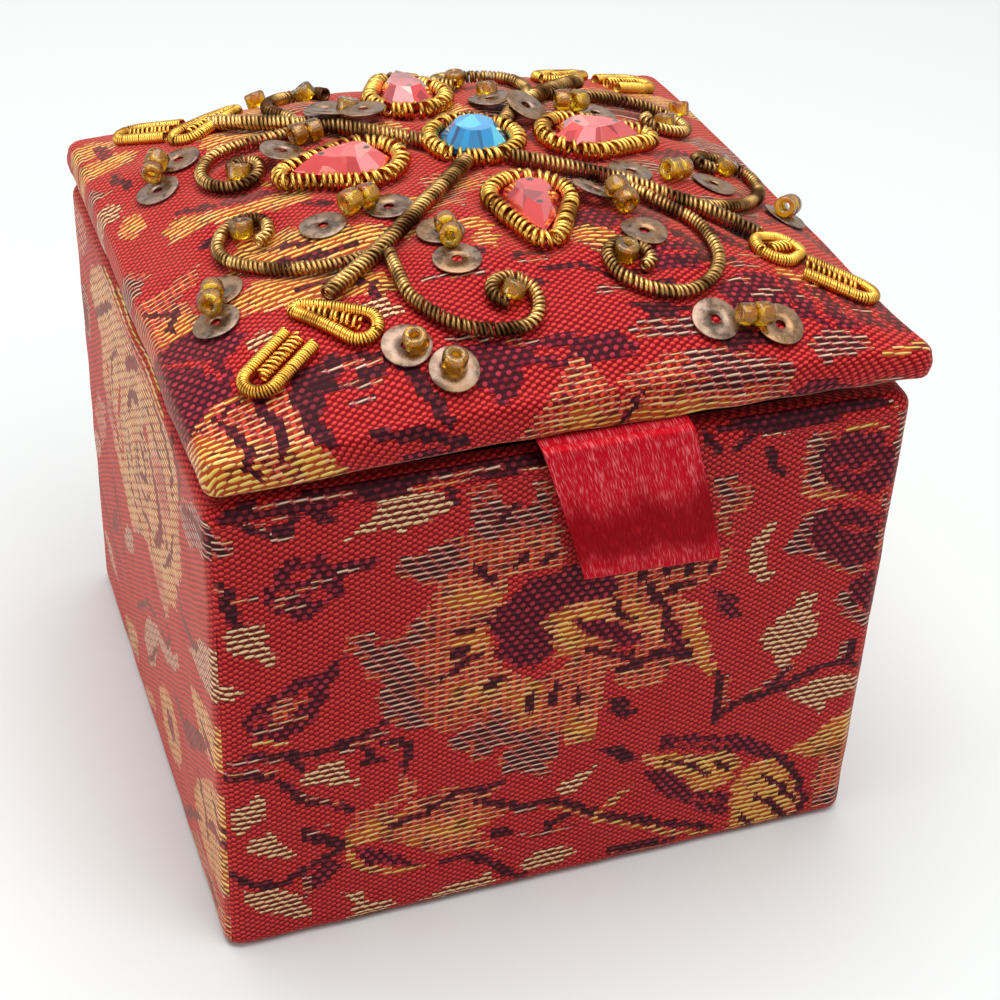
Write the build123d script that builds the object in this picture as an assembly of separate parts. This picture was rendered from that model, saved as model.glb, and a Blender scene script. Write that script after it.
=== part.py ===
"""Small keepsake box of grey board, covered with brocade, with a padded and embroidered lid.

The box stands on z = 0 with its base centred on the origin. X runs along the front from left to
right, Y runs from the front to the back, and Z is up. Lengths are in millimetres.
"""
import os
from math import acos, atan2, cos, degrees, hypot, pi, radians, sin

from build123d import *

# Outside of the covered box
box_width = 60.0
box_depth = 57.0
box_height = 47.3
corner_radius = 1.6
rim_radius = 1.4

# Sheet stock that the box is made of
wall_board = 2.0
floor_board = 2.0
lid_board = 1.8
brocade = 0.5
lining = 0.8
base_paper = 0.4

# Turnings and margins of the coverings
inner_hem = 8.0
base_hem = 9.0
base_paper_margin = 3.0
lining_drop = 3.0
lid_hem = 9.0
lid_lining_margin = 4.0

# Lid: the card lid's upright side, the rise of its pad and the gap that it stands open
lid_side = 3.0
lid_crown = 6.6
lid_edge_rise = 0.12
gap_back = 0.9
gap_front = 1.8
fullness_across = 2.4
fullness_along = 4.2
lid_station_shares = (-1.0, -0.93, -0.82, -0.66, -0.42, -0.16, 0.16, 0.42, 0.66, 0.82, 0.93, 1.0)
shoulder_share = 0.62
shoulder_middle_share = 0.83

# Cloth hinge along the back
hinge_cloth = 0.4
hinge_leaf_down = 14.0
hinge_leaf_margin = 2.0
hinge_split = 0.15

# Satin pull tab: a ribbon folded double, hanging askew from the lid's front edge
ribbon_width = 12.8
ribbon_thick = 0.35
ribbon_slack = 0.25
ribbon_off_wall = 0.35
ribbon_hang = 14.0
ribbon_top_left = -3.7
ribbon_lean = 4.9
ribbon_tuck = 3.4
ribbon_play = 0.15

# Coiled metal thread, laid as a hollow cord and stitched down
stem_radius = 0.75
scroll_radius = 0.62
frame_radius = 0.85
bright_radius = 0.58
check_radius = 0.6
tube_sides = 6
thread_gap = 0.16
butt_gap = 0.25
steps_per_span = 2

# Flat-backed stones
blue_radius = 2.9
blue_height = 2.0
drop_radius = 2.45
drop_tip_radius = 0.35
drop_length = 5.6
drop_height = 1.8
stone_table_share = 0.55
stone_girdle = 0.5
stone_hole_radius = 0.35
stone_hole_inset = 0.85
frame_play = 0.1

# Corner motifs: a hairpin and a loop of bright thread, each round a short check coil
hairpin_length = 4.6
loop_length = 4.4
motif_play = 0.03
arc_steps = 6

# Seed beads and sequins
bead_radius = 1.0
bead_height = 1.3
bead_hole = 0.38
bead_chamfer = 0.28
bead_sides = 8
sequin_radius = 2.0
sequin_thick = 0.16
sequin_hole = 0.45
sequin_sides = 10
hole_sides = 6
seat_gap = 0.06

# Places on the lid, as shares of its half width and half depth from its centre
blue_shares = (0.06, 0.13)
drop_shares = {
    "left": (-0.29, 0.085),
    "right": (0.385, 0.11),
    "front": (0.09, -0.285),
    "back": (-0.03, 0.495),
}
drop_angles = {"left": 172.0, "right": 5.0, "front": -98.0, "back": 88.0}
stem_shares = {
    "front_left": [(-0.02, -0.02), (-0.10, -0.12), (-0.20, -0.23), (-0.30, -0.34), (-0.38, -0.42),
                   (-0.47, -0.49), (-0.56, -0.55)],
    "front_right": [(0.13, -0.01), (0.25, -0.10), (0.38, -0.19), (0.50, -0.30), (0.60, -0.39),
                    (0.70, -0.50)],
    "back_left": [(-0.12, 0.18), (-0.20, 0.27), (-0.30, 0.37), (-0.42, 0.47), (-0.52, 0.57),
                  (-0.60, 0.66)],
    "back_right": [(0.20, 0.25), (0.27, 0.35), (0.36, 0.44), (0.48, 0.55), (0.58, 0.64)],
}
scroll_shares = {
    "left_front": [(-0.37, -0.42), (-0.48, -0.43), (-0.60, -0.38), (-0.68, -0.31), (-0.74, -0.22),
                   (-0.755, -0.13), (-0.72, -0.05), (-0.66, -0.03), (-0.615, -0.08), (-0.62, -0.15)],
    "front_left": [(-0.36, -0.43), (-0.365, -0.53), (-0.365, -0.63), (-0.33, -0.71), (-0.26, -0.78),
                   (-0.16, -0.81), (-0.08, -0.80), (-0.04, -0.75), (-0.045, -0.69), (-0.09, -0.65),
                   (-0.14, -0.67)],
    "right_front": [(0.53, -0.32), (0.62, -0.34), (0.74, -0.29), (0.83, -0.20), (0.885, -0.10),
                    (0.90, 0.0), (0.86, 0.06), (0.79, 0.07), (0.73, 0.05)],
    "front_right": [(0.41, -0.25), (0.47, -0.36), (0.52, -0.45), (0.53, -0.55), (0.51, -0.65),
                    (0.45, -0.73), (0.37, -0.765), (0.28, -0.75), (0.21, -0.69), (0.20, -0.61),
                    (0.25, -0.56), (0.305, -0.59)],
    "left_back": [(-0.36, 0.40), (-0.47, 0.40), (-0.58, 0.42), (-0.66, 0.40), (-0.705, 0.32),
                  (-0.69, 0.23), (-0.63, 0.17), (-0.57, 0.19), (-0.55, 0.26)],
    "back_left": [(-0.38, 0.44), (-0.40, 0.53), (-0.43, 0.63), (-0.40, 0.73), (-0.33, 0.79),
                  (-0.26, 0.77), (-0.235, 0.69)],
    "right_back": [(0.42, 0.48), (0.52, 0.47), (0.63, 0.48), (0.74, 0.46), (0.81, 0.40), (0.82, 0.32),
                   (0.77, 0.265), (0.70, 0.26)],
    "back_right": [(0.33, 0.42), (0.36, 0.53), (0.35, 0.63), (0.30, 0.71), (0.22, 0.75), (0.14, 0.72),
                   (0.11, 0.65), (0.15, 0.59)],
}
hairpin_shares = {"front_left": (-0.79, -0.77), "front_right": (0.91, -0.73),
                  "back_left": (-0.81, 0.83), "back_right": (0.83, 0.76)}
hairpin_angles = {"front_left": 35.0, "front_right": 147.0, "back_left": -45.0, "back_right": -152.0}
loop_shares = {"front_left": (-0.565, -0.645), "front_right": (0.74, -0.55),
               "back_left": (-0.61, 0.68), "back_right": (0.56, 0.73)}
loop_angles = {"front_left": -46.0, "front_right": 50.0, "back_left": 30.0, "back_right": 38.0}
sequin_shares = [(-0.83, 0.36), (-0.74, 0.49), (-0.48, 0.26), (-0.30, 0.44), (-0.48, -0.20),
                 (-0.29, -0.19), (-0.84, -0.46), (-0.80, -0.33), (-0.20, -0.53), (-0.20, -0.38),
                 (-0.42, -0.80), (-0.32, -0.89), (0.28, -0.29), (0.35, -0.50), (0.42, -0.86),
                 (0.60, -0.89), (0.46, -0.12), (0.72, -0.14), (0.90, -0.27), (-0.20, 0.39),
                 (-0.28, 0.53), (0.20, 0.40), (0.52, 0.33), (0.28, 0.30)]
bead_shares = [(-0.83, 0.40), (-0.79, 0.48), (-0.42, 0.33), (-0.35, 0.34), (-0.40, -0.18),
               (-0.33, -0.16), (-0.83, -0.43), (-0.81, -0.35), (-0.20, -0.47), (-0.19, -0.40),
               (-0.40, -0.81), (-0.32, -0.88), (0.33, -0.31), (0.34, -0.39), (0.48, -0.87),
               (0.55, -0.88), (0.56, -0.15), (0.62, -0.12), (0.92, -0.24), (0.86, -0.30),
               (-0.22, 0.48), (0.22, 0.49), (0.40, 0.34), (0.47, 0.33), (0.87, 0.50), (-0.42, 0.84),
               (-0.67, -0.07), (-0.08, -0.70), (0.82, 0.01), (0.25, -0.61), (-0.61, 0.23),
               (-0.29, 0.73), (0.74, 0.31), (0.17, 0.65)]

# Sizes that follow from the ones above
inner_width = box_width - 2 * (brocade + wall_board)
inner_depth = box_depth - 2 * (brocade + wall_board)
floor_top = base_paper + brocade + floor_board
lining_width = inner_width - 2 * brocade
lining_depth = inner_depth - 2 * brocade
lid_width = box_width
lid_depth = box_depth
lid_tilt = degrees(atan2(gap_front - gap_back, lid_depth))
hinge_height = box_height + gap_back / 2
upward = (Align.CENTER, Align.CENTER, Align.MIN)
lid_place = (Pos(0, lid_depth / 2, box_height + gap_back) * Rot(-lid_tilt, 0, 0)
             * Pos(0, -lid_depth / 2, 0))
motif_half_width = bright_radius + check_radius + thread_gap + motif_play
nodes = {}
laid = []


# The box: boards, their brocade covering and the linings
def soft_block(width, depth, height, corner, rim):
    """A block on z = 0 with rounded upright corners and a rounded upper rim."""
    block = Box(width, depth, height, align=upward)
    block = fillet(block.edges().filter_by(Axis.Z), corner)
    return fillet(block.faces().sort_by(Axis.Z)[-1].edges(), rim)


def board_form():
    """The outside of the bare boards: the covered box less the thickness of its brocade."""
    height = box_height - base_paper - 2 * brocade
    block = soft_block(box_width - 2 * brocade, box_depth - 2 * brocade, height,
                       corner_radius - brocade, rim_radius - brocade)
    return Pos(0, 0, base_paper + brocade) * block


def box_boards(form):
    """Floor board and four butted wall boards, cut from the form."""
    walls = Pos(0, 0, floor_top) * Box(box_width, box_depth, box_height, align=upward)
    nodes["base_board"] = form - walls
    upper = form & walls
    side_reach = inner_width / 2 + wall_board / 2
    for name, direction in (("left_wall_board", -1), ("right_wall_board", 1)):
        slab = Pos(direction * side_reach, 0, 0) * Box(wall_board, box_depth, box_height, align=upward)
        nodes[name] = upper & slab
    end_reach = inner_depth / 2 + wall_board / 2
    for name, direction in (("front_wall_board", -1), ("back_wall_board", 1)):
        slab = Pos(0, direction * end_reach, 0) * Box(inner_width, wall_board, box_height, align=upward)
        nodes[name] = upper & slab


def box_brocade(form):
    """One covering: round the walls, over the rim with a hem inside, and under the floor."""
    outer = Pos(0, 0, base_paper) * soft_block(box_width, box_depth, box_height - base_paper,
                                               corner_radius, rim_radius)
    mouth = Pos(0, 0, floor_top) * Box(lining_width, lining_depth, box_height, align=upward)
    under = Box(box_width - 2 * base_hem, box_depth - 2 * base_hem, floor_top, align=upward)
    hem = Box(inner_width, inner_depth, inner_hem, align=upward)
    hem -= Box(lining_width, lining_depth, inner_hem, align=upward)
    skin = outer - form - mouth - under
    return skin + Pos(0, 0, box_height - brocade - inner_hem) * hem


def box_linings():
    """Card panels wrapped in lining cloth: a floor, then two full walls and two between them."""
    nodes["floor_lining"] = Pos(0, 0, floor_top) * Box(lining_width, lining_depth, lining, align=upward)
    foot = floor_top + lining
    tall = box_height - lining_drop - foot
    for name, direction in (("front_lining", -1), ("back_lining", 1)):
        panel = Box(lining_width, lining, tall, align=upward)
        nodes[name] = Pos(0, direction * (lining_depth - lining) / 2, foot) * panel
    for name, direction in (("left_lining", -1), ("right_lining", 1)):
        panel = Box(lining, lining_depth - 2 * lining, tall, align=upward)
        nodes[name] = Pos(direction * (lining_width - lining) / 2, 0, foot) * panel


form = board_form()
box_boards(form)
nodes["wall_brocade"] = box_brocade(form)
nodes["base_cover"] = Box(box_width - 2 * base_paper_margin, box_depth - 2 * base_paper_margin,
                          base_paper, align=upward)
box_linings()


# The lid: a pad that swells between its edges, over a board, under the embroidered brocade
def crown_height(x, y):
    """Height of the lid's top over its underside: each share of the half size to its own power."""
    across = 1 - min(abs(x) / (lid_width / 2), 1) ** fullness_across
    along = 1 - min(abs(y) / (lid_depth / 2), 1) ** fullness_along
    return lid_side + lid_crown * across * along


def crown_normal(x, y):
    """Upward normal of the crown, from the slopes of its height each way."""
    u = abs(x) / (lid_width / 2)
    v = abs(y) / (lid_depth / 2)
    slope_x = fullness_across * u ** (fullness_across - 1) * (1 - v ** fullness_along)
    slope_y = fullness_along * v ** (fullness_along - 1) * (1 - u ** fullness_across)
    slope_x *= lid_crown / (lid_width / 2) * (1 if x > 0 else -1)
    slope_y *= lid_crown / (lid_depth / 2) * (1 if y > 0 else -1)
    return Vector(slope_x, slope_y, 1).normalized()


def crown_solid(inset):
    """The padded lid's form, set in from its outside: a loft through flat-bottomed sections.

    Each section's top is a crown arc between two shoulder arcs.
    """
    half = lid_width / 2 - inset
    edge = lid_side - inset
    sections = []
    for share in lid_station_shares:
        y = share * (lid_depth / 2 - inset)
        rise = max(lid_crown * (1 - abs(share) ** fullness_along), lid_edge_rise)

        def top(across_share, y=y, rise=rise):
            height = edge + rise * (1 - abs(across_share) ** fullness_across)
            return (across_share * half, y, height)

        foot = Polyline(top(1), (half, y, inset), (-half, y, inset), top(-1))
        left = ThreePointArc(top(-1), top(-shoulder_middle_share), top(-shoulder_share))
        middle = ThreePointArc(top(-shoulder_share), top(0), top(shoulder_share))
        right = ThreePointArc(top(shoulder_share), top(shoulder_middle_share), top(1))
        sections.append(Wire(foot.edges() + left.edges() + middle.edges() + right.edges()))
    return Solid.make_loft(sections)


def lid_parts():
    """Board, pad, brocade and lining of the lid, in the lid's own place at z = 0."""
    core = crown_solid(brocade)
    slab = Pos(0, 0, brocade) * Box(lid_width - 2 * brocade, lid_depth - 2 * brocade, lid_board,
                                    align=upward)
    window = Box(lid_width - 2 * lid_hem, lid_depth - 2 * lid_hem, brocade, align=upward)
    panel = Box(lining_width - lid_lining_margin, lining_depth - lid_lining_margin, lining, align=upward)
    return {"lid_board": slab, "lid_pad": core - slab,
            "lid_brocade": crown_solid(0) - core - window,
            "lid_lining": Pos(0, 0, -lining) * panel}


# The hinge: one strip of cloth, as a leaf on the box and a leaf on the lid
def hinge_leaves():
    """Both leaves lie on the back, and part at the height that the lid turns about."""
    wide = lid_width - 2 * (corner_radius + hinge_leaf_margin)
    lower = Pos(0, (box_depth + hinge_cloth) / 2, hinge_height - hinge_split - hinge_leaf_down)
    nodes["hinge_cloth_box_leaf"] = lower * Box(wide, hinge_cloth, hinge_leaf_down, align=upward)
    tall = lid_side - brocade + gap_back / 2 - hinge_split
    upper = Pos(0, (lid_depth + hinge_cloth) / 2, hinge_split - gap_back / 2)
    return {"hinge_cloth_lid_leaf": upper * Box(wide, hinge_cloth, tall, align=upward)}


# The pull tab: the ribbon's glued end under the lid, and its hanging loop
def ribbon_parts():
    """Two slanting layers that meet in a round fold at the bottom, and the glued end."""
    middle = ribbon_top_left + ribbon_width / 2
    tuck = Box(ribbon_width, ribbon_tuck, ribbon_thick, align=upward)
    anchor = Pos(middle, -lid_depth / 2 + ribbon_tuck / 2 + ribbon_play, -ribbon_thick) * tuck
    top = box_height + gap_front - ribbon_play
    bend = ribbon_thick + ribbon_slack / 2
    bottom = top - ribbon_hang + bend
    lean = Vector(-ribbon_lean, 0, top - bottom)
    inner_y = -box_depth / 2 - ribbon_off_wall - ribbon_thick / 2
    outer_y = inner_y - ribbon_thick - ribbon_slack
    loop = None
    for y in (inner_y, outer_y):
        foot = Pos(middle + ribbon_lean, y, bottom) * Rectangle(ribbon_width, ribbon_thick)
        layer = extrude(foot, amount=lean.length, dir=lean.normalized())
        loop = layer if loop is None else loop + layer
    axis_y = (inner_y + outer_y) / 2
    ring = Circle(bend) - Circle(ribbon_slack / 2)
    ring -= Pos(0, bend, 0) * Rectangle(4 * bend, 2 * bend)
    side = Plane(origin=(middle + ribbon_lean - ribbon_width / 2, axis_y, bottom), x_dir=(0, 1, 0),
                 z_dir=(1, 0, 0))
    nodes["ribbon_tab"] = loop + extrude(side * ring, amount=ribbon_width)
    return {"ribbon_anchor": anchor}


# The embroidery: paths over the crown, and cords and stones that follow them
def on_lid(place, lift):
    """A place in shares of the lid, as a point that far over the crown."""
    x = place[0] * lid_width / 2
    y = place[1] * lid_depth / 2
    return Vector(x, y, crown_height(x, y)) + crown_normal(x, y) * lift


def smooth(places):
    """A curve through the places: each span is the cubic that leaves along its neighbours' line."""
    curve = []
    for i in range(len(places) - 1):
        a = places[max(i - 1, 0)]
        b, c = places[i], places[i + 1]
        d = places[min(i + 2, len(places) - 1)]
        for k in range(steps_per_span):
            t = k / steps_per_span
            curve.append(tuple(
                (2 * b[n] + (c[n] - a[n]) * t + (2 * a[n] - 5 * b[n] + 4 * c[n] - d[n]) * t ** 2
                 + (3 * b[n] - a[n] - 3 * c[n] + d[n]) * t ** 3) / 2 for n in (0, 1)))
    return curve + [places[-1]]


def clear_run(stations, radius):
    """The longest run of stations that stays clear of every cord and stone laid before."""
    best, run = [], []
    for point in stations:
        free = all((point - other).length > radius + reach + thread_gap for other, reach, top in laid)
        run = run + [point] if free else []
        best = run if len(run) > len(best) else best
    return best


def cord(places, radius):
    """A cord of coiled thread along the places, six-sided, kept clear of what is laid."""
    stations = clear_run([on_lid(place, radius + thread_gap) for place in places], radius)
    sections = []
    for i, point in enumerate(stations):
        along = stations[min(i + 1, len(stations) - 1)] - stations[max(i - 1, 0)]
        across = along.cross(Vector(0, 0, 1)).normalized()
        section = Plane(origin=point, x_dir=across, z_dir=along.normalized())
        sections.append(section * RegularPolygon(radius, tube_sides))
    laid.extend((point, radius, 2 * radius + thread_gap) for point in stations)
    return loft(sections, ruled=True)


def drop_outline(round_radius, tip_radius, length, start):
    """A drop round two circles: half arcs on each, joined by their common tangents.

    It starts and ends at the middle of the round end, a gap apart, and its points are even in
    angle on the arcs. The straight sides get one more point each.
    """
    lean = acos((round_radius - tip_radius) / length) if length else pi / 2
    points = []
    for k in range(arc_steps + 1):
        angle = pi - start - (pi - start - lean) * k / arc_steps
        points.append((round_radius * cos(angle), round_radius * sin(angle)))
    for k in range(arc_steps):
        angle = lean * (1 - 2 * (k + 0.5) / arc_steps)
        points.append((length + tip_radius * cos(angle), tip_radius * sin(angle)))
    points += [(x, -y) for x, y in reversed(points[:arc_steps + 1])]
    return points


def turned(points, centre, angle):
    """Points about a centre in millimetres, as places in shares of the lid."""
    turn = radians(angle)
    return [(centre[0] + (x * cos(turn) - y * sin(turn)) / (lid_width / 2),
             centre[1] + (x * sin(turn) + y * cos(turn)) / (lid_depth / 2)) for x, y in points]


def stone(outline, height, centre, angle, holes):
    """A flat-backed stone: a straight girdle, then facets up to a smaller table."""
    x, y = centre[0] * lid_width / 2, centre[1] * lid_depth / 2
    seat = Plane(origin=on_lid(centre, thread_gap), x_dir=(cos(radians(angle)), sin(radians(angle)), 0),
                 z_dir=crown_normal(x, y))
    girdle = Polyline(*outline, close=True)
    middle = sum(px for px, py in outline) / len(outline)
    table = [(middle + (px - middle) * stone_table_share, py * stone_table_share) for px, py in outline]
    upper = Polyline(*table, close=True)
    body = extrude(make_face(girdle), amount=stone_girdle)
    crown = loft([Pos(0, 0, stone_girdle) * make_face(girdle), Pos(0, 0, height) * make_face(upper)],
                 ruled=True)
    body += crown
    for reach in holes:
        body -= Pos(reach, 0, 0) * Cylinder(stone_hole_radius, height, align=upward)
    return seat * body


def stones_and_frames():
    """The round blue stone and four red drops, each in a ring of coiled thread."""
    pieces = {}
    ring = frame_radius + frame_play
    start = butt_gap / 2 / (blue_radius + ring)
    blue = [(blue_radius * cos(k * 2 * pi / (2 * arc_steps)), blue_radius * sin(k * 2 * pi / (2 * arc_steps)))
            for k in range(2 * arc_steps)]
    pieces["blue_stone"] = stone(blue, blue_height, blue_shares, 0, ())
    around = [((blue_radius + ring) * cos(start + (2 * pi - 2 * start) * k / (3 * arc_steps)),
               (blue_radius + ring) * sin(start + (2 * pi - 2 * start) * k / (3 * arc_steps)))
              for k in range(3 * arc_steps + 1)]
    pieces["blue_stone_frame"] = cord(turned(around, blue_shares, 90), frame_radius)
    holes = (-drop_radius + stone_hole_inset, drop_length - stone_hole_inset)
    for side in drop_shares:
        centre, angle = drop_shares[side], drop_angles[side]
        outline = drop_outline(drop_radius, drop_tip_radius, drop_length, 0)
        pieces["red_stone_" + side] = stone(outline[:-1], drop_height, centre, angle, holes)
        start = butt_gap / 2 / (drop_radius + ring)
        around = drop_outline(drop_radius + ring, drop_tip_radius + ring, drop_length, start)
        pieces["red_stone_frame_" + side] = cord(turned(around, centre, angle), frame_radius)
    return pieces


def corner_motifs():
    """At each corner a loop and a hairpin of bright thread, with a check coil inside each."""
    pieces = {}
    coils = []
    for corner in hairpin_shares:
        half = loop_length / 2
        start = butt_gap / 2 / motif_half_width
        outline = drop_outline(motif_half_width, motif_half_width, loop_length, start)
        oval = [(x - half, y) for x, y in outline]
        place, angle = loop_shares[corner], loop_angles[corner]
        pieces["corner_loop_" + corner] = cord(turned(oval, place, angle), bright_radius)
        inside = [(half * (2 * k / arc_steps - 1), 0) for k in range(arc_steps + 1)]
        coils.append(cord(turned(inside, place, angle), check_radius))
        place, angle = hairpin_shares[corner], hairpin_angles[corner]
        legs = [(hairpin_length * (1 - k / arc_steps), motif_half_width) for k in range(arc_steps)]
        bend = [(motif_half_width * cos(pi / 2 + pi * k / arc_steps),
                 motif_half_width * sin(pi / 2 + pi * k / arc_steps)) for k in range(arc_steps + 1)]
        path = legs + bend + [(x, -y) for x, y in reversed(legs)]
        pieces["corner_hairpin_" + corner] = cord(turned(path, place, angle), bright_radius)
        inside = [(hairpin_length * k / arc_steps, 0) for k in range(arc_steps + 1)]
        coils.append(cord(turned(inside, place, angle), check_radius))
    pieces["check_coils"] = coils
    return pieces


def seated(place, radius, height):
    """The plane on which a small disc rests: the cloth, or the highest thing under it."""
    flat = on_lid(place, 0)
    lift = seat_gap
    for other, reach, top in laid:
        if hypot(other.X - flat.X, other.Y - flat.Y) < radius + reach:
            lift = max(lift, top + seat_gap)
    laid.append((on_lid(place, lift + height / 2), radius, lift + height))
    x, y = flat.X, flat.Y
    return Plane(origin=on_lid(place, lift), z_dir=crown_normal(x, y))


def sequins_and_beads():
    """Flat sequins first, then seed beads on the cloth, on the sequins and in the scrolls' eyes."""
    disc = extrude(RegularPolygon(sequin_radius, sequin_sides) - RegularPolygon(sequin_hole, hole_sides),
                   amount=sequin_thick)
    bead = extrude(RegularPolygon(bead_radius, bead_sides), amount=bead_height)
    bead = chamfer(bead.edges().filter_by(Axis.Z, reverse=True), bead_chamfer)
    bead -= extrude(RegularPolygon(bead_hole, hole_sides), amount=bead_height)
    return {
        "sequins": [seated(place, sequin_radius, sequin_thick) * disc for place in sequin_shares],
        "seed_beads": [seated(place, bead_radius, bead_height) * bead for place in bead_shares],
    }


lid_nodes = lid_parts()
lid_nodes.update(hinge_leaves())
lid_nodes.update(ribbon_parts())
lid_nodes.update(stones_and_frames())
lid_nodes.update(corner_motifs())
for corner, places in stem_shares.items():
    lid_nodes["stem_" + corner] = cord(smooth(places), stem_radius)
for side, places in scroll_shares.items():
    lid_nodes["scroll_" + side] = cord(smooth(places), scroll_radius)
lid_nodes.update(sequins_and_beads())
for name, piece in lid_nodes.items():
    pieces = piece if isinstance(piece, list) else [piece]
    moved = [lid_place * one for one in pieces]
    nodes[name] = Compound(children=moved) if len(moved) > 1 else moved[0]

os.makedirs("parts", exist_ok=True)
for name, piece in nodes.items():
    export_step(piece, f"parts/{name}.step")
print(len(nodes), "nodes")
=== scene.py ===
import bpy
import numpy as np
from mathutils import Matrix, Vector


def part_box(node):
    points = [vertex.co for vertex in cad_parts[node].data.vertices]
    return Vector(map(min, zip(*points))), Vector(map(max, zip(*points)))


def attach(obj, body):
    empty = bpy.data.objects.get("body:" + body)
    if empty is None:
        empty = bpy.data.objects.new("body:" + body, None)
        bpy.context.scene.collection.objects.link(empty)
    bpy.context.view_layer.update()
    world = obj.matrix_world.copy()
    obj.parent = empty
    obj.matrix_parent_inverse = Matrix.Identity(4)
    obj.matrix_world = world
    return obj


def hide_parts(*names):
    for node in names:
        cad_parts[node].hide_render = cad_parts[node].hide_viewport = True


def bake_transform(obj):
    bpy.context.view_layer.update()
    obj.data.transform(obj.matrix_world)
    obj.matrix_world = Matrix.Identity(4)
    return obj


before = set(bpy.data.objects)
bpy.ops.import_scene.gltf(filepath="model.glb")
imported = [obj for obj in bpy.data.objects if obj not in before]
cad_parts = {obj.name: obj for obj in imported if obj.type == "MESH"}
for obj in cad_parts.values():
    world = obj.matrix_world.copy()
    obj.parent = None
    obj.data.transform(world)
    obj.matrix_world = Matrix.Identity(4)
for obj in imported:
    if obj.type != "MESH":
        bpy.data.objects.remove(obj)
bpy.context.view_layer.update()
MM = 0.001


# Wall brocade: one strip of woven silk glued round the boards, turned over the rim as a hem inside
# and under the floor. It is made here a wall at a time, with its figures drawn on the cloth in
# millimetres: u along the wall, v up it.
box_low, box_high = (np.array(corner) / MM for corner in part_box("wall_brocade"))
box_half = (box_high - box_low)[:2] / 2
box_top = box_high[2]
box_foot = box_low[2]
CORNER = 1.6
RIM = 1.4
WALL = 2.9
RIM_HEM = 8.0
BASE_HEM = 8.6
CLOTH_STEP = 0.34
FOLD = 0.5
CLOTH_PUFF = 0.05
RIM_PUFF = 0.1
PATCH_REACH = 1.6
TONE_EDGE = 1.1


def mesh_piece(name, points, faces, body=None, rounded=True):
    """A mesh in metres from points in millimetres, riding on a body."""
    mesh = bpy.data.meshes.new(name)
    mesh.from_pydata((np.asarray(points, float) * MM).tolist(), [], [list(face) for face in faces])
    mesh.polygons.foreach_set("use_smooth", np.full(len(mesh.polygons), rounded))
    mesh.update()
    piece = bpy.data.objects.new(name, mesh)
    bpy.context.scene.collection.objects.link(piece)
    if body:
        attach(piece, body)
    return piece


def mark(piece, name, parts):
    """Three numbers for each of a piece's points, as an attribute that its material can read."""
    attribute = piece.data.attributes.new(name, "FLOAT_VECTOR", "POINT")
    rows = np.stack([part.ravel() for part in parts], -1).astype(np.float32)
    attribute.data.foreach_set("vector", rows.ravel())


def grid_faces(rows, columns, wrap_columns=False):
    """Quads of a grid whose points are listed row by row."""
    across = columns if wrap_columns else columns - 1
    i, j = np.meshgrid(np.arange(rows - 1), np.arange(across), indexing="ij")
    k = (j + 1) % columns
    quads = np.stack([i * columns + j, i * columns + k, (i + 1) * columns + k, (i + 1) * columns + j], -1)
    return quads.reshape(-1, 4)


def ripple(x, y, seed, size):
    """Smooth noise of about -1 to 1: a sum of eight cosine waves of random heading and phase."""
    dice = np.random.default_rng(seed)
    total = np.zeros(np.broadcast(x, y).shape)
    for heading, phase, scale in zip(dice.uniform(0, 2 * np.pi, 8), dice.uniform(0, 2 * np.pi, 8),
                                     dice.uniform(0.6, 1.7, 8)):
        wave = 2 * np.pi * scale / size
        total += np.cos(wave * (x * np.cos(heading) + y * np.sin(heading)) + phase)
    return total / 4


def from_middle(x, y, middle, angle):
    """How far points lie from a middle, along a direction and across it."""
    turn = np.radians(angle)
    along = (x - middle[0]) * np.cos(turn) + (y - middle[1]) * np.sin(turn)
    across = (y - middle[1]) * np.cos(turn) - (x - middle[0]) * np.sin(turn)
    return along, across


def leaf(x, y, middle, length, width, angle):
    """Inside distance of a pointed leaf: where two equal circles overlap."""
    along, across = from_middle(x, y, middle, angle)
    a, b = length / 2, width / 2
    radius = (a * a + b * b) / (2 * b)
    return radius - np.hypot(along, np.abs(across) + radius - b)


def petal(x, y, middle, length, width, angle, lobes=0, cut=0.12):
    """Inside distance of an oval whose edge waves in and out by a share of its size."""
    along, across = from_middle(x, y, middle, angle)
    along, across = along / (length / 2), across / (width / 2)
    edge = 1 + cut * np.cos(lobes * np.arctan2(across, along)) if lobes else 1
    return (edge - np.hypot(along, across)) * min(length, width) / 2


def stroke(x, y, places, width):
    """Inside distance of a line drawn through the places, tapering to half its width at its ends.

    The half width at a share s of the way is width (0.5 + sqrt(s (1 - s))) / 2.
    """
    best = np.full(np.broadcast(x, y).shape, -99.0)
    places = np.array(places, float)
    lengths = np.hypot(*np.diff(places, axis=0).T)
    total, run = lengths.sum(), 0.0
    for a, b, length in zip(places[:-1], places[1:], lengths):
        t = np.clip(((x - a[0]) * (b[0] - a[0]) + (y - a[1]) * (b[1] - a[1])) / length ** 2, 0, 1)
        share = (run + t * length) / total
        half = width / 2 * (0.5 + np.sqrt(np.clip(share * (1 - share), 0, 1)))
        away = np.hypot(x - a[0] - t * (b[0] - a[0]), y - a[1] - t * (b[1] - a[1]))
        best = np.maximum(best, half - away)
        run += length
    return best


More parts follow.
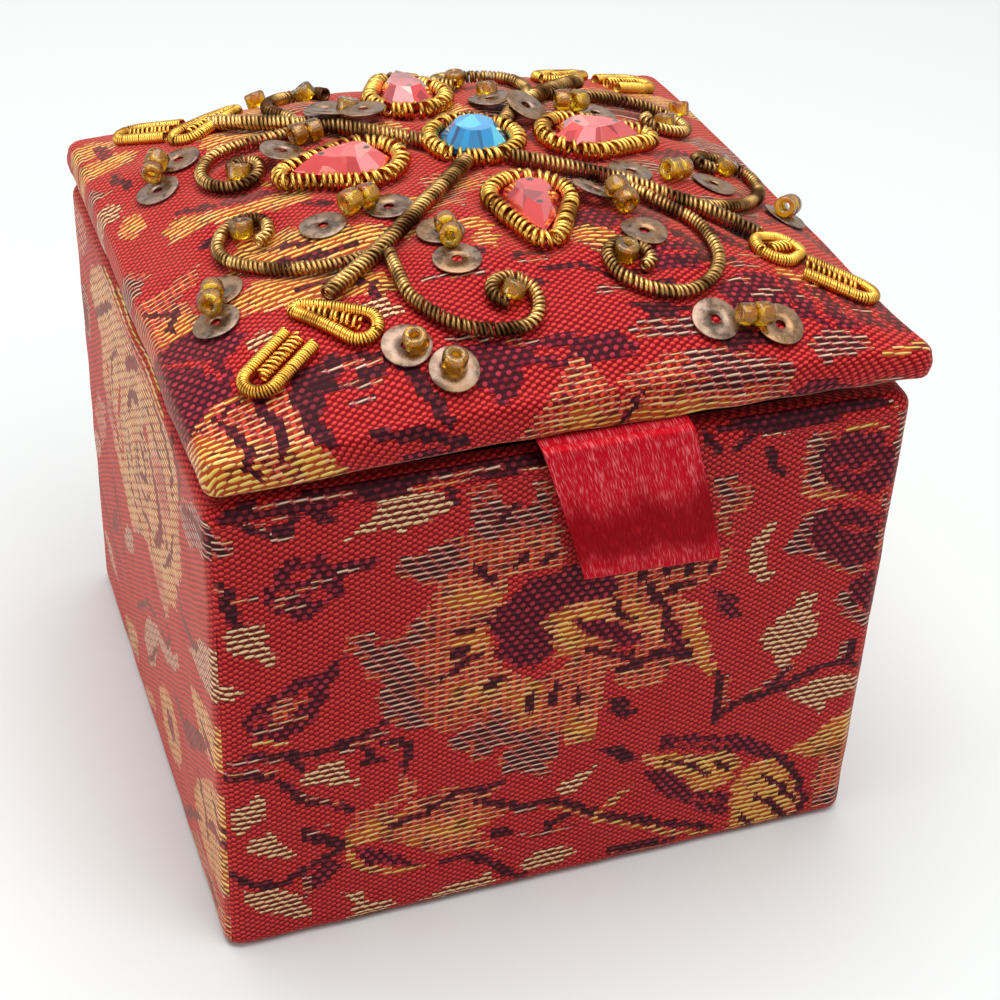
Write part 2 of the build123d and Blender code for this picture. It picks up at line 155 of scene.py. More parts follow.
def patch(x, y, places):
    """Inside distance of a patch with straight sides, worked out only near it and cut off at its reach.

    The distance is that to the nearest side. A point is inside where a level line from it to the
    right crosses an odd number of sides.
    """
    places = np.array(places, float)
    near = ((x > places[:, 0].min() - PATCH_REACH) & (x < places[:, 0].max() + PATCH_REACH)
            & (y > places[:, 1].min() - PATCH_REACH) & (y < places[:, 1].max() + PATCH_REACH))
    px, py = x[near], y[near]
    away, within = np.full(px.shape, 99.0), np.zeros(px.shape, bool)
    for a, b in zip(places, np.roll(places, -1, axis=0)):
        side = b - a
        t = np.clip(((px - a[0]) * side[0] + (py - a[1]) * side[1]) / (side @ side), 0, 1)
        away = np.minimum(away, np.hypot(px - a[0] - t * side[0], py - a[1] - t * side[1]))
        if side[1]:
            within ^= ((a[1] > py) != (b[1] > py)) & (px < a[0] + (py - a[1]) / side[1] * side[0])
    inside = np.full(x.shape, -PATCH_REACH)
    inside[near] = np.where(within, away, -np.minimum(away, PATCH_REACH))
    return inside


DRAW = {"leaf": leaf, "petal": petal, "stroke": stroke, "patch": patch}
FIELDS = ("gold", "tan", "plum", "dark")


def figures(x, y, drawing):
    """The cloth's figures at (x, y): for each sort of weave the greatest inside distance.

    A later figure covers the earlier ones: it is cut out of every other sort. The tone is that of
    the last gold figure that holds the point, softened at its edge: -1 yellow, 0 rosy, 1 pale over black.
    """
    found = {name: np.full(x.shape, -9.0) for name in FIELDS}
    tone = np.zeros(x.shape)
    for sort, shade, kind, *shape in drawing:
        inside = DRAW[kind](x, y, *shape)
        for name in FIELDS:
            if name == sort:
                found[name] = np.maximum(found[name], inside)
            else:
                found[name] = np.minimum(found[name], -inside)
        if sort == "gold":
            tone = tone + (shade - tone) * np.clip((inside + TONE_EDGE) / (2 * TONE_EDGE), 0, 1)
    return found, tone


WEAVES = {"red": ("red", 0.0), "tan": ("tan", 0.0), "plum": ("plum", 0.0), "dark": ("dark", 0.0),
          "rosy": ("gold", 0.0), "pale": ("gold", 1.0), "yellow": ("gold", -1.0)}


def read_drawing(text):
    """A drawing from its words: for each figure its weave and kind, then its numbers in millimetres.

    A leaf or a petal has its middle, length, width and angle, and a petal may have a number of lobes.
    A stroke has its width, then the places that it goes through. A patch has its corners.
    """
    words = " ".join(line for line in text.splitlines() if "#" not in line).split()
    starts = [k for k, word in enumerate(words) if word in WEAVES] + [len(words)]
    drawing = []
    for start, end in zip(starts[:-1], starts[1:]):
        kind, numbers = words[start + 1], [float(word) for word in words[start + 2:end]]
        if kind in ("leaf", "petal"):
            shape = [numbers[:2], *numbers[2:]]
        else:
            width = numbers[:1] if kind == "stroke" else []
            shape = [np.reshape(numbers[len(width):], (-1, 2)), *width]
        drawing.append((*WEAVES[words[start]], kind, *shape))
    return drawing


# strands along the rim: dark strokes under the lid's edge, partly a woven figure and partly the lid's shadow
# painted on the cloth, with pale strands in them
FRONT_DRAWING = read_drawing("""
    # the great flower's outer petals, woven pale over black
    pale patch -9.4 45.4 -7.2 45.8 -6.8 43.6 -5 42.6 -3.9 42.8 -3.9 45 -2.4 44.6 -1.8 41.6 -0.6 37.4 -5
        37 -9.4 39 -8.8 42
    pale patch -15 39.6 -12 40.2 -9.6 41 -8.4 40.2 -8.2 37.6 -12 36.2 -13.4 37.2 -14.8 38
    pale patch -19.4 32.6 -18 33 -16.6 32.4 -16.4 31.2 -14.6 32 -13.4 33.6 -12.2 34.4 -11.4 33 -11.8 22
        -12.6 21.4 -14 21.6 -16 23.2 -16.6 25.4 -15.8 27.2 -17.8 28.4 -18 30.4 -19.2 31.4
    pale patch -10.4 19.4 -9.4 20.2 -7.2 20.6 -5.4 21.8 -3 22.2 -3 19.6 0.4 18.4 0 15.2 -1 14 -0.6 12.6
        -1.6 12.4 -3 13.6 -5.6 13.8 -5.4 15.6 -4.4 17 -5.8 17.6 -6.4 16.2 -7.8 16.4 -8.4 17.8 -9.8 18.2
    # its inner petals, rosy and yellow
    rosy patch -9 40.2 -1.6 40 -0.4 36.6 -1.4 36 -4 35.6 -5.6 35.8 -6 33.4 -8.8 33 -12 34.4 -12 36.6
        -9.4 38
    rosy patch -12.6 34.6 -6 33.4 -5.8 31.6 -7 30.2 -6.2 27.4 -4.6 25.6 -3.6 24 -5.2 21.6 -8.6 20.6
        -10.6 20.2 -12.4 21.8 -13.2 28.2 -12.8 31.2
    rosy patch -5 24.6 0 25.2 3.8 24.4 4 21.4 3.6 15.8 0.8 15.8 0.4 17.6 -1.8 18.2 -3.8 19.6 -4.6 21.6
    rosy patch 2.6 34.8 14 34.8 14.2 32.8 12.6 31.2 10.6 30.4 11.8 28 13.2 23 12.2 22.2 10 22.4 9.6 20.8
        7 20.4 5.4 21.6 4.2 23.6 -1 25 -1 27.8 -2.4 29.6 -1.8 31.4 3 31.8 4.2 32.6
    yellow petal -8.4 34.2 3.6 1.8 0
    yellow petal -8.6 29.4 3 2.6 0
    yellow petal -7.2 24.2 4.2 2 0
    yellow petal -3.4 21.8 2.4 4 0
    yellow petal 2 17.4 3 3 0
    dark petal -9.2 31 2 0.8 0
    dark petal -9.6 29 2.2 1.2 0
    dark stroke 0.8 -10.6 26.4 -8.8 27.8 -7.4 28
    dark petal -6.4 24.8 1.8 1 10
    dark stroke 0.9 -8.4 37.6 -7 35.6
    dark stroke 0.8 -4.8 36.8 -3.8 38
    dark stroke 0.8 -2.6 36.6 -1.6 37.6
    dark stroke 0.7 -6.6 41.6 -5 43
    dark stroke 0.9 -2.9 22.6 -2.9 20.6
    dark stroke 0.9 -0.6 23.6 -0.6 20.8
    dark stroke 0.7 1.6 22.2 1.5 20.2
    plum patch -6.8 32.6 -5.6 33.4 -3.4 35.2 0.6 35.8 1 34.8 3.6 34.6 4.2 32.4 3.2 31.6 0 31.6 -2 31
        -2.4 29.8 -1.4 28.8 -1.2 27 -2.6 25.6 -4.8 26.4 -6 27.4 -6.2 29.6 -7 30.8
    red stroke 1 -4.4 25.8 -2.4 24.6 0.6 26
    yellow patch -2 30.8 0 31.4 3.4 31.2 4 29.4 2.6 27.6 0.6 26.4 -1 27.2
    plum patch 0.2 29.8 2.6 29.6 5 28.4 7.6 26 6.4 25.4 4 26.8 1.4 28.4
    yellow stroke 1.2 5.4 30.4 7 28.6 8.6 26.4
    dark stroke 0.9 6.8 32.4 9 29.2 9.6 25.4
    dark stroke 0.8 6.2 34 6.2 32.6
    dark stroke 0.8 8.6 34.2 8.6 32.8
    dark stroke 0.8 10.6 34 10.6 32.4
    dark stroke 0.8 12.8 33.4 12.6 32.2
    plum patch 9.2 27.6 10.4 27.8 11.2 25 11 24 9.8 24.4
    dark stroke 0.9 2 26.6 4 25.4 6.4 24.6
    dark stroke 1.1 4.8 23.2 8.6 24.2 12.4 23.4
    yellow stroke 1.5 11.4 29 12.4 25.4 13.2 22.4 14.6 20.6
    dark stroke 0.8 4.4 31.4 4.6 29.6 6 28.6
    red petal 5.6 25.6 2 1 0
    dark stroke 0.7 8.8 31 10.2 31.4 12 31.2
    dark patch 4 20.4 5.4 20.2 7.6 18 6.2 17.5 4.8 18.8
    plum patch 13 30.4 14.4 30 15.8 28.4 16.4 26.4 15 26.6 14 28.2
    pale patch 11.8 42.4 14.6 42.2 14 41.4 15.8 40.6 15.8 39 12.6 39.4 12.4 40.6
    rosy patch 12.8 39.8 15.8 39.2 15.8 38.2 14 38 14.6 36.4 13.8 35.6 13 37
    dark stroke 1 11 47 12.4 44.6
    dark stroke 1 15.4 46.2 13.6 44.6
    dark stroke 1 16.4 44.4 17.6 42 18.6 41.4
    # the dark rose at the right edge, its petals' ends woven pale
    pale patch 19.8 44.6 22.4 45 23.2 43.6 22.6 41.2 23 39.6 26.2 37 22.6 37.8 20 39 20.4 41.6
    plum patch 22 43.8 24 44.4 27 43.8 28 42.2 31 43 31 38.4 27.4 37.6 24.4 38.4 22.4 39.6 21.8 41.6
    yellow stroke 0.8 20.4 38.9 22.6 38.3 25 37.6
    yellow stroke 0.6 23.8 44.8 27.6 44.4
    pale patch 20.8 36.6 23.6 37 22.6 35.4 21.8 33.6 23.8 31.4 21 32.2 19 33 20.2 35
    pale stroke 1.3 23 32 25 30.4 27.8 29
    plum patch 21.8 36.2 24.4 36.8 28 35.2 31 35.8 31 30.6 26.6 29.8 24.6 31 22.6 32.4 21.4 33.8
    pale stroke 1.5 26 27 27.2 24.6 29 23.2 30.6 23
    plum patch 26.6 27.8 27.8 28.8 31 28.4 31 24.2 28.6 24.4 27.2 25.8
    pale stroke 1.2 28.8 45.6 29.2 43.2 29.2 41
    pale stroke 0.7 26.2 47.6 28.4 46.6
    pale stroke 1 28.4 37 29.2 35
    pale stroke 1.1 28.6 33 29.6 30.6
    red stroke 0.5 23.6 41 25.4 40.2 27.6 41.2
    red stroke 0.5 24 34.8 26.4 33.8 28.8 34.2
    # leaves woven in short tan floats
    tan patch 18.2 23.2 19.4 25.2 20.8 26 22.2 28 23.6 27.8 23.4 25.6 24.2 23.4 23 21 22 20.4 22 18.6
        20.6 19.6 20.4 21 19.4 22
    tan patch 22 16.4 24 17 25.4 17.6 27.4 17.2 29.6 16.6 30.6 14.6 28 14.8 26 14.4 25.8 12.8 24.4 14.2
        23.4 14.6
    tan patch 17.8 36.8 16.6 35.2 15.8 33.6 16.4 31.4 18.2 29.8 19.2 30.6 17.8 32.2 17.4 33.8 18.2 35.4
    tan patch 15.2 47.8 17.8 47.8 18.2 45.2 16.4 45.4
    tan patch -29.4 34 -28.8 35.8 -27.2 36 -25.8 35.4 -25.8 33.6 -24.6 31 -26.2 31.8 -27.8 32.6 -28.8
        33.4
    tan patch -31 28.6 -31 30.2 -28.8 30 -27.6 29.2 -28.8 28.4
    tan patch -19.2 42 -18.2 43.6 -16.8 44.6 -16.4 46 -14.6 46.6 -12.4 46.4 -11.2 45.2 -10.4 44 -12.2 43
        -14.4 42.2 -16.4 43 -18 42.8
    tan patch -29.6 14.2 -28.6 16.2 -26.6 17.8 -25.8 16.4 -26.6 14.8 -28.6 13.4
    tan patch -27.8 12.4 -26 13 -24.8 11.4 -23.8 9.4 -25.8 9.8 -27.6 11
    tan patch -28.2 6.6 -25.4 6.2 -23.4 4.6 -22.4 1.4 -24.8 2.2 -26.8 3.6 -28.2 4.8
    tan patch -23.2 18.4 -21.6 19.4 -19.6 19.4 -18.6 17.6 -17.2 15.8 -18.4 16.6 -20.6 17 -22.6 17.4
    tan patch -19.6 3.8 -18 3.6 -17.6 2 -15.2 1.4 -15 -0.4 -19.2 -0.4 -18.8 1.6
    tan patch -12.8 -0.2 -11 1.4 -8 1.6 -6.2 2.2 -5.2 0.6 -6 -0.4
    tan patch -3.4 2.2 -1.4 3.5 1 3.5 2.2 2.2 0.8 1.2 -2 1
    tan patch -0.4 10.4 1 11.6 3.8 12.6 3 11 1 9.6
    tan petal -5 47 8 1 -3
    pale patch -31 45.4 -29 45 -28 43.4 -28.4 42.6 -31 42.2
    # dark leaves with gold ribs
    plum patch -27.8 25 -27.2 27.2 -25.6 28 -23.6 29.2 -21.4 29.4 -19 31.2 -19.8 29.4 -20.6 27.8 -21 26
        -22.4 24.2 -24.8 23 -27 23.4
    yellow petal -24.2 26.3 2.4 1.5 20
    pale stroke 0.8 -27 24.6 -25 24.8 -22.8 25.4
    pale stroke 0.7 -25.8 26.6 -24.4 27.2 -22.4 27
    yellow stroke 0.6 -27.2 23.2 -24.4 22.9
    red petal -22.4 27.8 1.6 0.8 20
    red petal -26.2 25.8 1.2 0.8 0
    plum patch -25.6 38.8 -24.8 40.2 -23.4 41.9 -22.4 41 -21 41.5 -20.2 40.2 -18 40.6 -16.4 40.2 -17.6
        39 -19.4 39.2 -19 37.6 -20.8 36.4 -22.4 35.3 -23.6 35.1 -24.2 36.4 -25.4 37
    red petal -23 39.8 2 1.2 20
    red petal -21.2 37.6 1.8 1.2 0
    red petal -24.2 38.4 1.2 0.9 0
    pale stroke 0.75 -25 37.3 -22.2 38.3
    pale stroke 0.7 -22.4 38.4 -20.4 38.9
    pale stroke 0.6 -24 36.7 -22.4 36.7
    pale stroke 0.6 -20 39.3 -18.6 39.6
    dark stroke 1.2 -29.8 40.4 -28.4 38.8 -28.2 36.2
    pale stroke 0.6 -31 40.4 -29 39.2
    pale stroke 0.6 -28.2 38.6 -26 38.2
    dark stroke 1 -26.8 46.8 -27 45.4 -25.4 44.4 -23.8 44.5 -23 45.6 -23.8 46.8
    pale stroke 0.6 -26.6 45.9 -25.2 44.5
    pale stroke 0.6 -24.6 45.9 -23 46.3
    pale stroke 0.5 -25.2 43.7 -23.6 43.7
    dark stroke 0.9 -28.8 46.6 -26 47.6
    dark petal -21.2 45.8 1.8 1.6 30
    dark petal -20.2 46.6 1.4 1.2 0
    dark petal -20.6 44.8 1.6 0.9 0
    dark stroke 0.9 -10.9 46.8 -10.3 44.2
    # stems and the lily at the left, under the flower
    pale stroke 0.7 -29.4 21.3 -27 21.6 -24.6 20.9
    pale stroke 0.7 -19.8 20.3 -17.4 21.2 -15.4 21.6
    dark stroke 0.9 -27.4 22.2 -25 21.5 -21.6 20.9 -17.8 21.7 -15.8 22.8
    pale stroke 0.6 -30.4 20.3 -27.6 20.4 -25.4 19.8
    dark stroke 0.8 -30.4 19.8 -27.4 19.8 -25.4 19
    dark stroke 0.9 -23.8 21 -23 19.4
    dark stroke 1 -17.4 20.8 -17.3 19 -15.6 18.5
    dark stroke 1 -16 20.8 -13.9 19.8 -13.5 18.2
    pale stroke 0.6 -15.6 20.4 -14.8 19.4
    dark stroke 1 -24.8 18.6 -22.6 15.8 -20.6 14.9 -18.8 13.4
    pale stroke 0.5 -23 16.6 -20 14.6
    rosy patch -14 16.8 -13.1 15.4 -13.3 13.6 -15.6 12.4 -17 10.8 -19.8 9.4 -18.4 13.2 -16.8 13.6 -15.2
        14.4
    rosy patch -13.4 13.2 -9.6 13.9 -7.6 12.8 -5.4 12.4 -6.6 10.8 -4.2 9.6 -5.2 8.6 -7 8.3 -6.2 6.2 -5
        4.6 -8 5.7 -11.2 6.1 -14 8.2 -16 9 -19.8 9.2 -17.6 11.6 -14.6 12.2
    yellow petal -17 10.4 5 1.6 30
    yellow petal -10 8.6 6 2 -6
    dark stroke 0.8 -15.2 10.6 -12 11.4 -9.4 13 -6.4 12.6 -5 13.2
    dark stroke 1 -7.4 11.4 -3.8 9.8
    yellow stroke 0.9 -19.2 8.6 -17.6 6.2 -15 5 -12.4 5.2
    plum patch -18.6 9 -16.4 8.3 -14 6.6 -11.6 4.2 -14.4 5.8 -17.2 6.6
    dark stroke 1 -10.8 5 -8 4.8 -6 3.6 -4.6 1.8 -2.2 0
    dark stroke 1.5 -23 12.3 -21.2 10.8 -19.6 9.6
    pale stroke 0.5 -22.6 11.9 -20.8 12.3
    dark stroke 0.9 -30.4 9.4 -27 7.1 -25 6.5 -23.6 7.2 -21.6 8.4 -19.4 9.2
    plum patch -22.6 4.8 -21.8 7.4 -20 8.3 -19.4 7 -21.2 5.4
    pale stroke 0.7 -22.9 4.4 -22.4 6.9
    dark stroke 0.6 -13.9 18.2 -13.9 16.6
    # the long stem, the bud and the fan at the lower right
    yellow stroke 0.8 -0.6 8.6 2.4 7.4 4.4 5.8 6.6 4.8 9 3.6 11.6 1.8 15.4 0.8
    dark stroke 0.9 -4.2 9.8 -1 9.5 1.4 8.6 4 6.8 6.4 5.5 9 4.3 11.4 3.1 16 1.4
    dark stroke 1 -5.8 7.2 -3.6 6.4
    dark stroke 0.9 -0.6 6.2 1.6 7.2
    pale stroke 0.6 -3.2 5.9 -0.4 5.6 2.8 5.8
    pale stroke 0.5 -3.8 9 -1 8.6
    yellow stroke 0.8 4.4 6.7 5.6 7.4 7.4 8.9
    red stroke 0.6 -2 7.6 1 7.8
    dark patch 3.4 14.4 6 14.2 8 12.3 6.2 12.3
    yellow patch 7.8 12.5 10.4 12.3 13.6 11.2 16.6 10.8 18.4 9 17.8 6.8 15.6 5.9 14 6.3 13 8.2 11.2 9.4
        9.4 10.8
    plum patch 9.6 14.2 12.2 14.1 14.8 13.1 18.2 12.3 20.4 11 21.8 9 19.8 9.5 17.2 10.6 14.6 11.6 12
        12.4 9.6 12.8
    plum patch 8 10.8 10.2 10.4 12.6 8.4 14.2 6.4 17.6 5.4 17.4 2.4 15.2 3.4 12.8 5.6 10.4 7.6
    red stroke 0.4 11 13.2 14 12.4 17.4 11.6
    red stroke 0.5 13.8 5.6 16.6 4.4
    dark stroke 0.6 10.8 11.2 13.4 9.8 15.2 8.2
    dark stroke 0.7 15.6 9.8 17.2 8.4
    yellow patch 17.6 5.6 19.2 8.4 21.2 9 23.4 6.8 24.6 4 25.4 1.4 24 -0.6 18.2 -0.6 17.8 1.6
    dark stroke 0.8 20.4 4.2 22.2 2.4 24.6 -0.6
    dark stroke 0.7 21.2 6.6 23 4.6 24.8 2
    dark stroke 0.6 19 1.8 21 -0.6
    dark stroke 0.8 19.6 9.6 22.6 8.4 24.6 5.6 25.6 2.4 25 -0.4
    rosy patch 25.6 8.2 27.4 9.4 30.8 9.4 30.8 0.4 27.6 1.6 26.2 2.2 26.4 5 27 7
    yellow patch 22.8 9 25.6 10.5 28.4 12.6 30.8 12.2 30.8 8.4 27.4 9 25.6 7.6
    pale petal 28.6 1.4 5 1.6 10
    pale stroke 0.6 17.4 17 20.4 18.2 21.8 19.8
    dark stroke 0.9 15.2 15.4 17.8 16.8 20.6 16.9 22.4 17.6 24.6 18.6 27.2 18.9 28.8 18.2 31 17.8
    dark stroke 0.9 20.2 17.2 21.2 18.4 21.8 19.4
    dark stroke 1 27.6 19 28 21.4
    pale stroke 0.7 26.7 19.2 27.4 21.2
    pale stroke 0.6 15.6 20 15.9 17.6 16 16.2
    dark stroke 0.9 14.6 20.8 15.3 18.6 15.3 16.4 14.8 14.6
    dark petal 8.8 0.9 7 1.7 -6
    pale stroke 0.6 5.8 0.7 9 0.2 12.4 0.3
    # strands along the rim, in the lid's shade
    dark stroke 1.6 -27.6 46.4 -20 47.2 -10 47 -1 47.3
    pale stroke 0.7 -26 47.2 -18 46.7
    pale stroke 0.7 -14 46.6 -6.4 47
    dark stroke 1.4 12.4 47.1 20 46.9 27.4 47.2
""")


LEFT_DRAWING = read_drawing("""
    # the great rose, its heart and the dark folds of its petals
    yellow patch -17.4 31 -17 36 -21 39 -19 42.4 -12 46.4 -3 47.6 9 47.4 17 45.6 18.4 42.4 17.6 38 17.4
        33 14.6 29.6 14 26.6 10.6 25 8.6 21 5 22.6 1 24.6 -2.6 23.4 -6.4 20.4 -9.6 23.4 -13.4 25.6
    rosy petal -14 29 5 4 20
    rosy petal 10.6 37.4 5 6 0
    rosy petal 2 46 12 3 4
    rosy petal 6.4 24 5 3.4 10
    dark stroke 1.1 -3.4 36.4 -1.6 39.2 2.4 40.8
    plum stroke 1.4 -3 41 -0.6 43 3 44.8
    dark stroke 1 -9 43.8 -14 40.6 -19 37
    plum stroke 1.7 5.6 38 8 34.6 8.8 31 6 28.2
    red petal 4.6 38.8 2.4 1.6 0
    dark stroke 0.8 -0.8 34.4 0.6 32 3.2 33.2 2.6 35.2 0.8 35.4
    dark stroke 0.9 8 45.4 13 44.2 15.8 42.2 15.4 39.8
    dark stroke 1 16 46.8 19 44.4 18.4 41.4
    red stroke 0.8 -7.6 36.6 -9.6 31.6 -8.6 27
    red stroke 0.8 2.6 28.4 4 25.6
    dark stroke 0.6 -8 39.6 -11.4 36.6 -12.2 32.6
    dark stroke 0.7 10.4 33.4 12.4 30
    dark stroke 0.6 -4.6 33 -3.6 29.6 0 27.6 4 28
    dark stroke 0.5 -1.6 33.4 -0.8 30.8 2.4 30.2 4.6 32.4
    dark stroke 0.6 -7 30.6 -5.4 26.6 -2 25
    dark stroke 0.6 6.4 42.6 11.4 40.6 13.8 36.4
    dark stroke 0.6 14.8 35.4 12.8 31.6 9 27.6
    dark stroke 0.5 1.4 37.4 4 36.6 5 34.4
    red stroke 0.7 -14.6 34.6 -13 30 -9.4 26.6
    yellow petal 2 33.8 1.6 1.2 0
    # leaves, stems and strips round it
    pale patch 17.6 39.6 20 43 25 45.6 30 46.4 30 42.6 25 41.4 21.6 39.2
    dark stroke 0.9 19.4 41.4 24 43.6 29.6 44.6
    tan patch 22.6 30.2 24 31.6 27 33.2 30 34.2 30 28.4 25.6 27.4 20.4 26.2 18 26.2 20.8 27.8
    dark stroke 1 14.4 29.8 17.4 28 20.6 28.2 22.8 29.8
    yellow patch 19.2 20.2 18.2 22 20.6 23.6 25 24.8 30 25.6 30 20.2 25.6 19.8 22.6 18
    plum stroke 0.9 21.6 20.8 26.6 20.6
    plum stroke 2.2 10.2 14.6 14.4 13.6 19 16.6 23.4 19.4
    yellow patch 17.4 5.2 16.8 8.6 19.6 12.6 22 14.6 25.6 17.4 30 18 30 6.2 24.4 4.4 21.6 4.2
    dark stroke 1 19.2 13 21.4 10.6 22.6 7.4
    plum stroke 1.1 22.4 9.6 25 11.4 28.6 12.2
    dark stroke 0.8 24.6 15.4 26.6 13.6 29.6 13.4
    yellow patch 2 8 4 10.4 7.4 11.8 10.6 10.6 12.2 8 10.4 5.2 6.6 3.4 2.8 4.2
    plum petal 7.2 7.6 3.2 2.8 0 5
    dark stroke 1 19.4 7.2 14.6 3.6 9.2 -0.8
    tan patch -4.8 8.8 -3.2 12.4 -0.6 15.2 3 15.4 2 12 0 9.2 -2 7.2
    tan stroke 1.8 2.4 15.6 7.6 16.6 11.4 18.8 12.6 20.2
    dark stroke 0.7 -3.6 7 -0.8 9.6 2.4 13.4
    dark stroke 0.7 5.2 17.8 8.6 18.4 9.6 20.4 7.2 22
    dark stroke 0.7 -7.6 10.6 -4 13.8 -1 16.2 3.4 17.6
    rosy patch 12.4 -0.4 16.6 3.2 22.6 3.8 30 3.4 30 -0.6
    plum stroke 0.8 20 1.6 25 1.8
    yellow patch -17 2.6 -13 4.8 -9.2 5.8 -10 2 -14.6 0.4
    rosy patch -25.4 22 -22.4 26.6 -17.4 27.8 -19 23.4 -21.6 20.2
    tan leaf -9 17.6 5.6 2.8 40
    rosy patch -29.4 41.6 -26.6 45.6 -20.6 45.2 -22 42 -26 39.6
    pale patch -29.4 34.4 -25.6 37 -22.6 35.4 -23.4 31.8 -29.4 29.8
    plum petal -25.6 33.4 3 3 0
    dark stroke 0.9 -28.6 14.4 -24.6 11.6 -20.6 9.6 -16.4 9.4
    tan leaf -22.6 6 6.4 3 -20
    dark stroke 0.9 -17 20.4 -14 17 -13.4 13
    plum leaf -17.6 14 6.4 2.2 50
    tan leaf -25.6 18 5.4 2.8 30
    yellow leaf -4 2 6 2 24
""")


def wall_frame(side):
    """A wall's rightward and outward directions, half its width, and half the box across it."""
    turns = {"front": 0, "right": 90, "back": 180, "left": 270}
    angle = np.radians(turns[side])
    right = np.round([np.cos(angle), np.sin(angle)])
    out = np.array([right[1], -right[0]])
    wide = box_half[0] if side in ("front", "back") else box_half[1]
    deep = box_half[1] if side in ("front", "back") else box_half[0]
    return right, out, wide, deep


def wall_profile():
    """The cloth's path, as three columns: inset from the wall's face, height, and height on the cloth.

    It goes from the hem under the floor round a small quarter turn and up the wall, over the rim's
    quarter turn and a second, small one, and down the hem inside. On a turn of radius r, a point at
    the angle a is r sin a along and r cos a across, and r a further on the cloth.
    """
    small_turn = np.linspace(0, np.pi / 2, 4)
    under = [(BASE_HEM - t, box_foot, t - BASE_HEM) for t in np.arange(0, BASE_HEM - FOLD, 1.2)]
    turn = [(FOLD - FOLD * np.sin(a), box_foot + FOLD - FOLD * np.cos(a), FOLD * (a - np.pi / 2) + 0.1)
            for a in small_turn]
    rise = [(0.0, z, z - box_foot) for z in np.arange(box_foot + 0.8, box_top - RIM, CLOTH_STEP)]
    top = box_top - RIM
    over = [(RIM - RIM * np.cos(a), top + RIM * np.sin(a), top + RIM * a)
            for a in np.linspace(0, np.pi / 2, 8)]
    end = over[-1][2]
    inner = [(WALL - FOLD + FOLD * np.sin(a), box_top - FOLD + FOLD * np.cos(a), end + 0.6 + FOLD * a)
             for a in small_turn]
    hem = [(WALL, box_top - FOLD - t, end + 1.4 + t) for t in np.arange(0.6, RIM_HEM, 1.0)]
    return np.array(under + turn + rise + over + inner + hem)


def wall_cloth(side, drawing, drawn_at, shift):
    """One wall's share of the strip, to the middle of the round corner at each end.

    A point is the wall's outline set in by the profile's inset: straight along the wall, then an
    arc whose radius shrinks with the inset. The cloth stands off by a slight ripple.
    """
    right, out, wide, deep = wall_frame(side)
    profile = wall_profile()
    flat = np.linspace(-1, 1, int(2 * (wide - CORNER) / CLOTH_STEP))
    bend = np.linspace(0, np.pi / 4, 5)[1:]
    along = np.concatenate([-np.ones(4), flat, np.ones(4)])
    angle = np.concatenate([-bend[::-1], np.zeros(len(flat)), bend])
    inset, height, cloth_v = (profile[:, i][:, None] for i in range(3))
    reach = np.maximum(CORNER, inset)
    radius = np.maximum(CORNER - inset, 0)
    cloth_u = along * (wide - CORNER) + angle * CORNER + 0 * inset
    cloth_v = cloth_v + 0 * cloth_u
    at_rim = np.exp(-((cloth_v - box_top) / 1.5) ** 2)
    puff = CLOTH_PUFF * ripple(cloth_u, cloth_v, 11 + shift, 9.0) * (inset < RIM)
    puff = puff + RIM_PUFF * ripple(cloth_u, 0 * cloth_v, 5 + shift, 12.0) * at_rim
    right_by = along * (wide - reach) + (radius + puff) * np.sin(angle)
    out_by = (deep - reach) + (radius + puff) * np.cos(angle)
    points = np.stack([right_by * right[0] + out_by * out[0], right_by * right[1] + out_by * out[1],
                       height + 0 * right_by], -1)
    faces = grid_faces(*cloth_u.shape)
    piece = mesh_piece("wall_brocade_" + side, points.reshape(-1, 3), faces, "box")
    weave_on(piece, cloth_u, cloth_v, drawing, drawn_at)
    return piece


def weave_on(piece, cloth_u, cloth_v, drawing, drawn_at=(0.0, 0.0)):
    """Gives a piece of brocade its cloth map in millimetres and its figures, as attributes.

    A figure's attribute is its inside distance and that distance's two slopes, from differences a
    short step apart. The drawing is moved over the cloth by drawn_at: a length each way, or one for
    each point.
    """
    step = 0.15
    x, y = cloth_u + drawn_at[0], cloth_v + drawn_at[1]
    found, tone = figures(x, y, drawing)
    beside, _ = figures(x + step, y, drawing)
    above, _ = figures(x, y + step, drawing)
    mark(piece, "cloth", (cloth_u, cloth_v, tone))
    for sort in FIELDS:
        slopes = [(moved[sort] - found[sort]) / step for moved in (beside, above)]
        mark(piece, sort, (found[sort], *slopes))


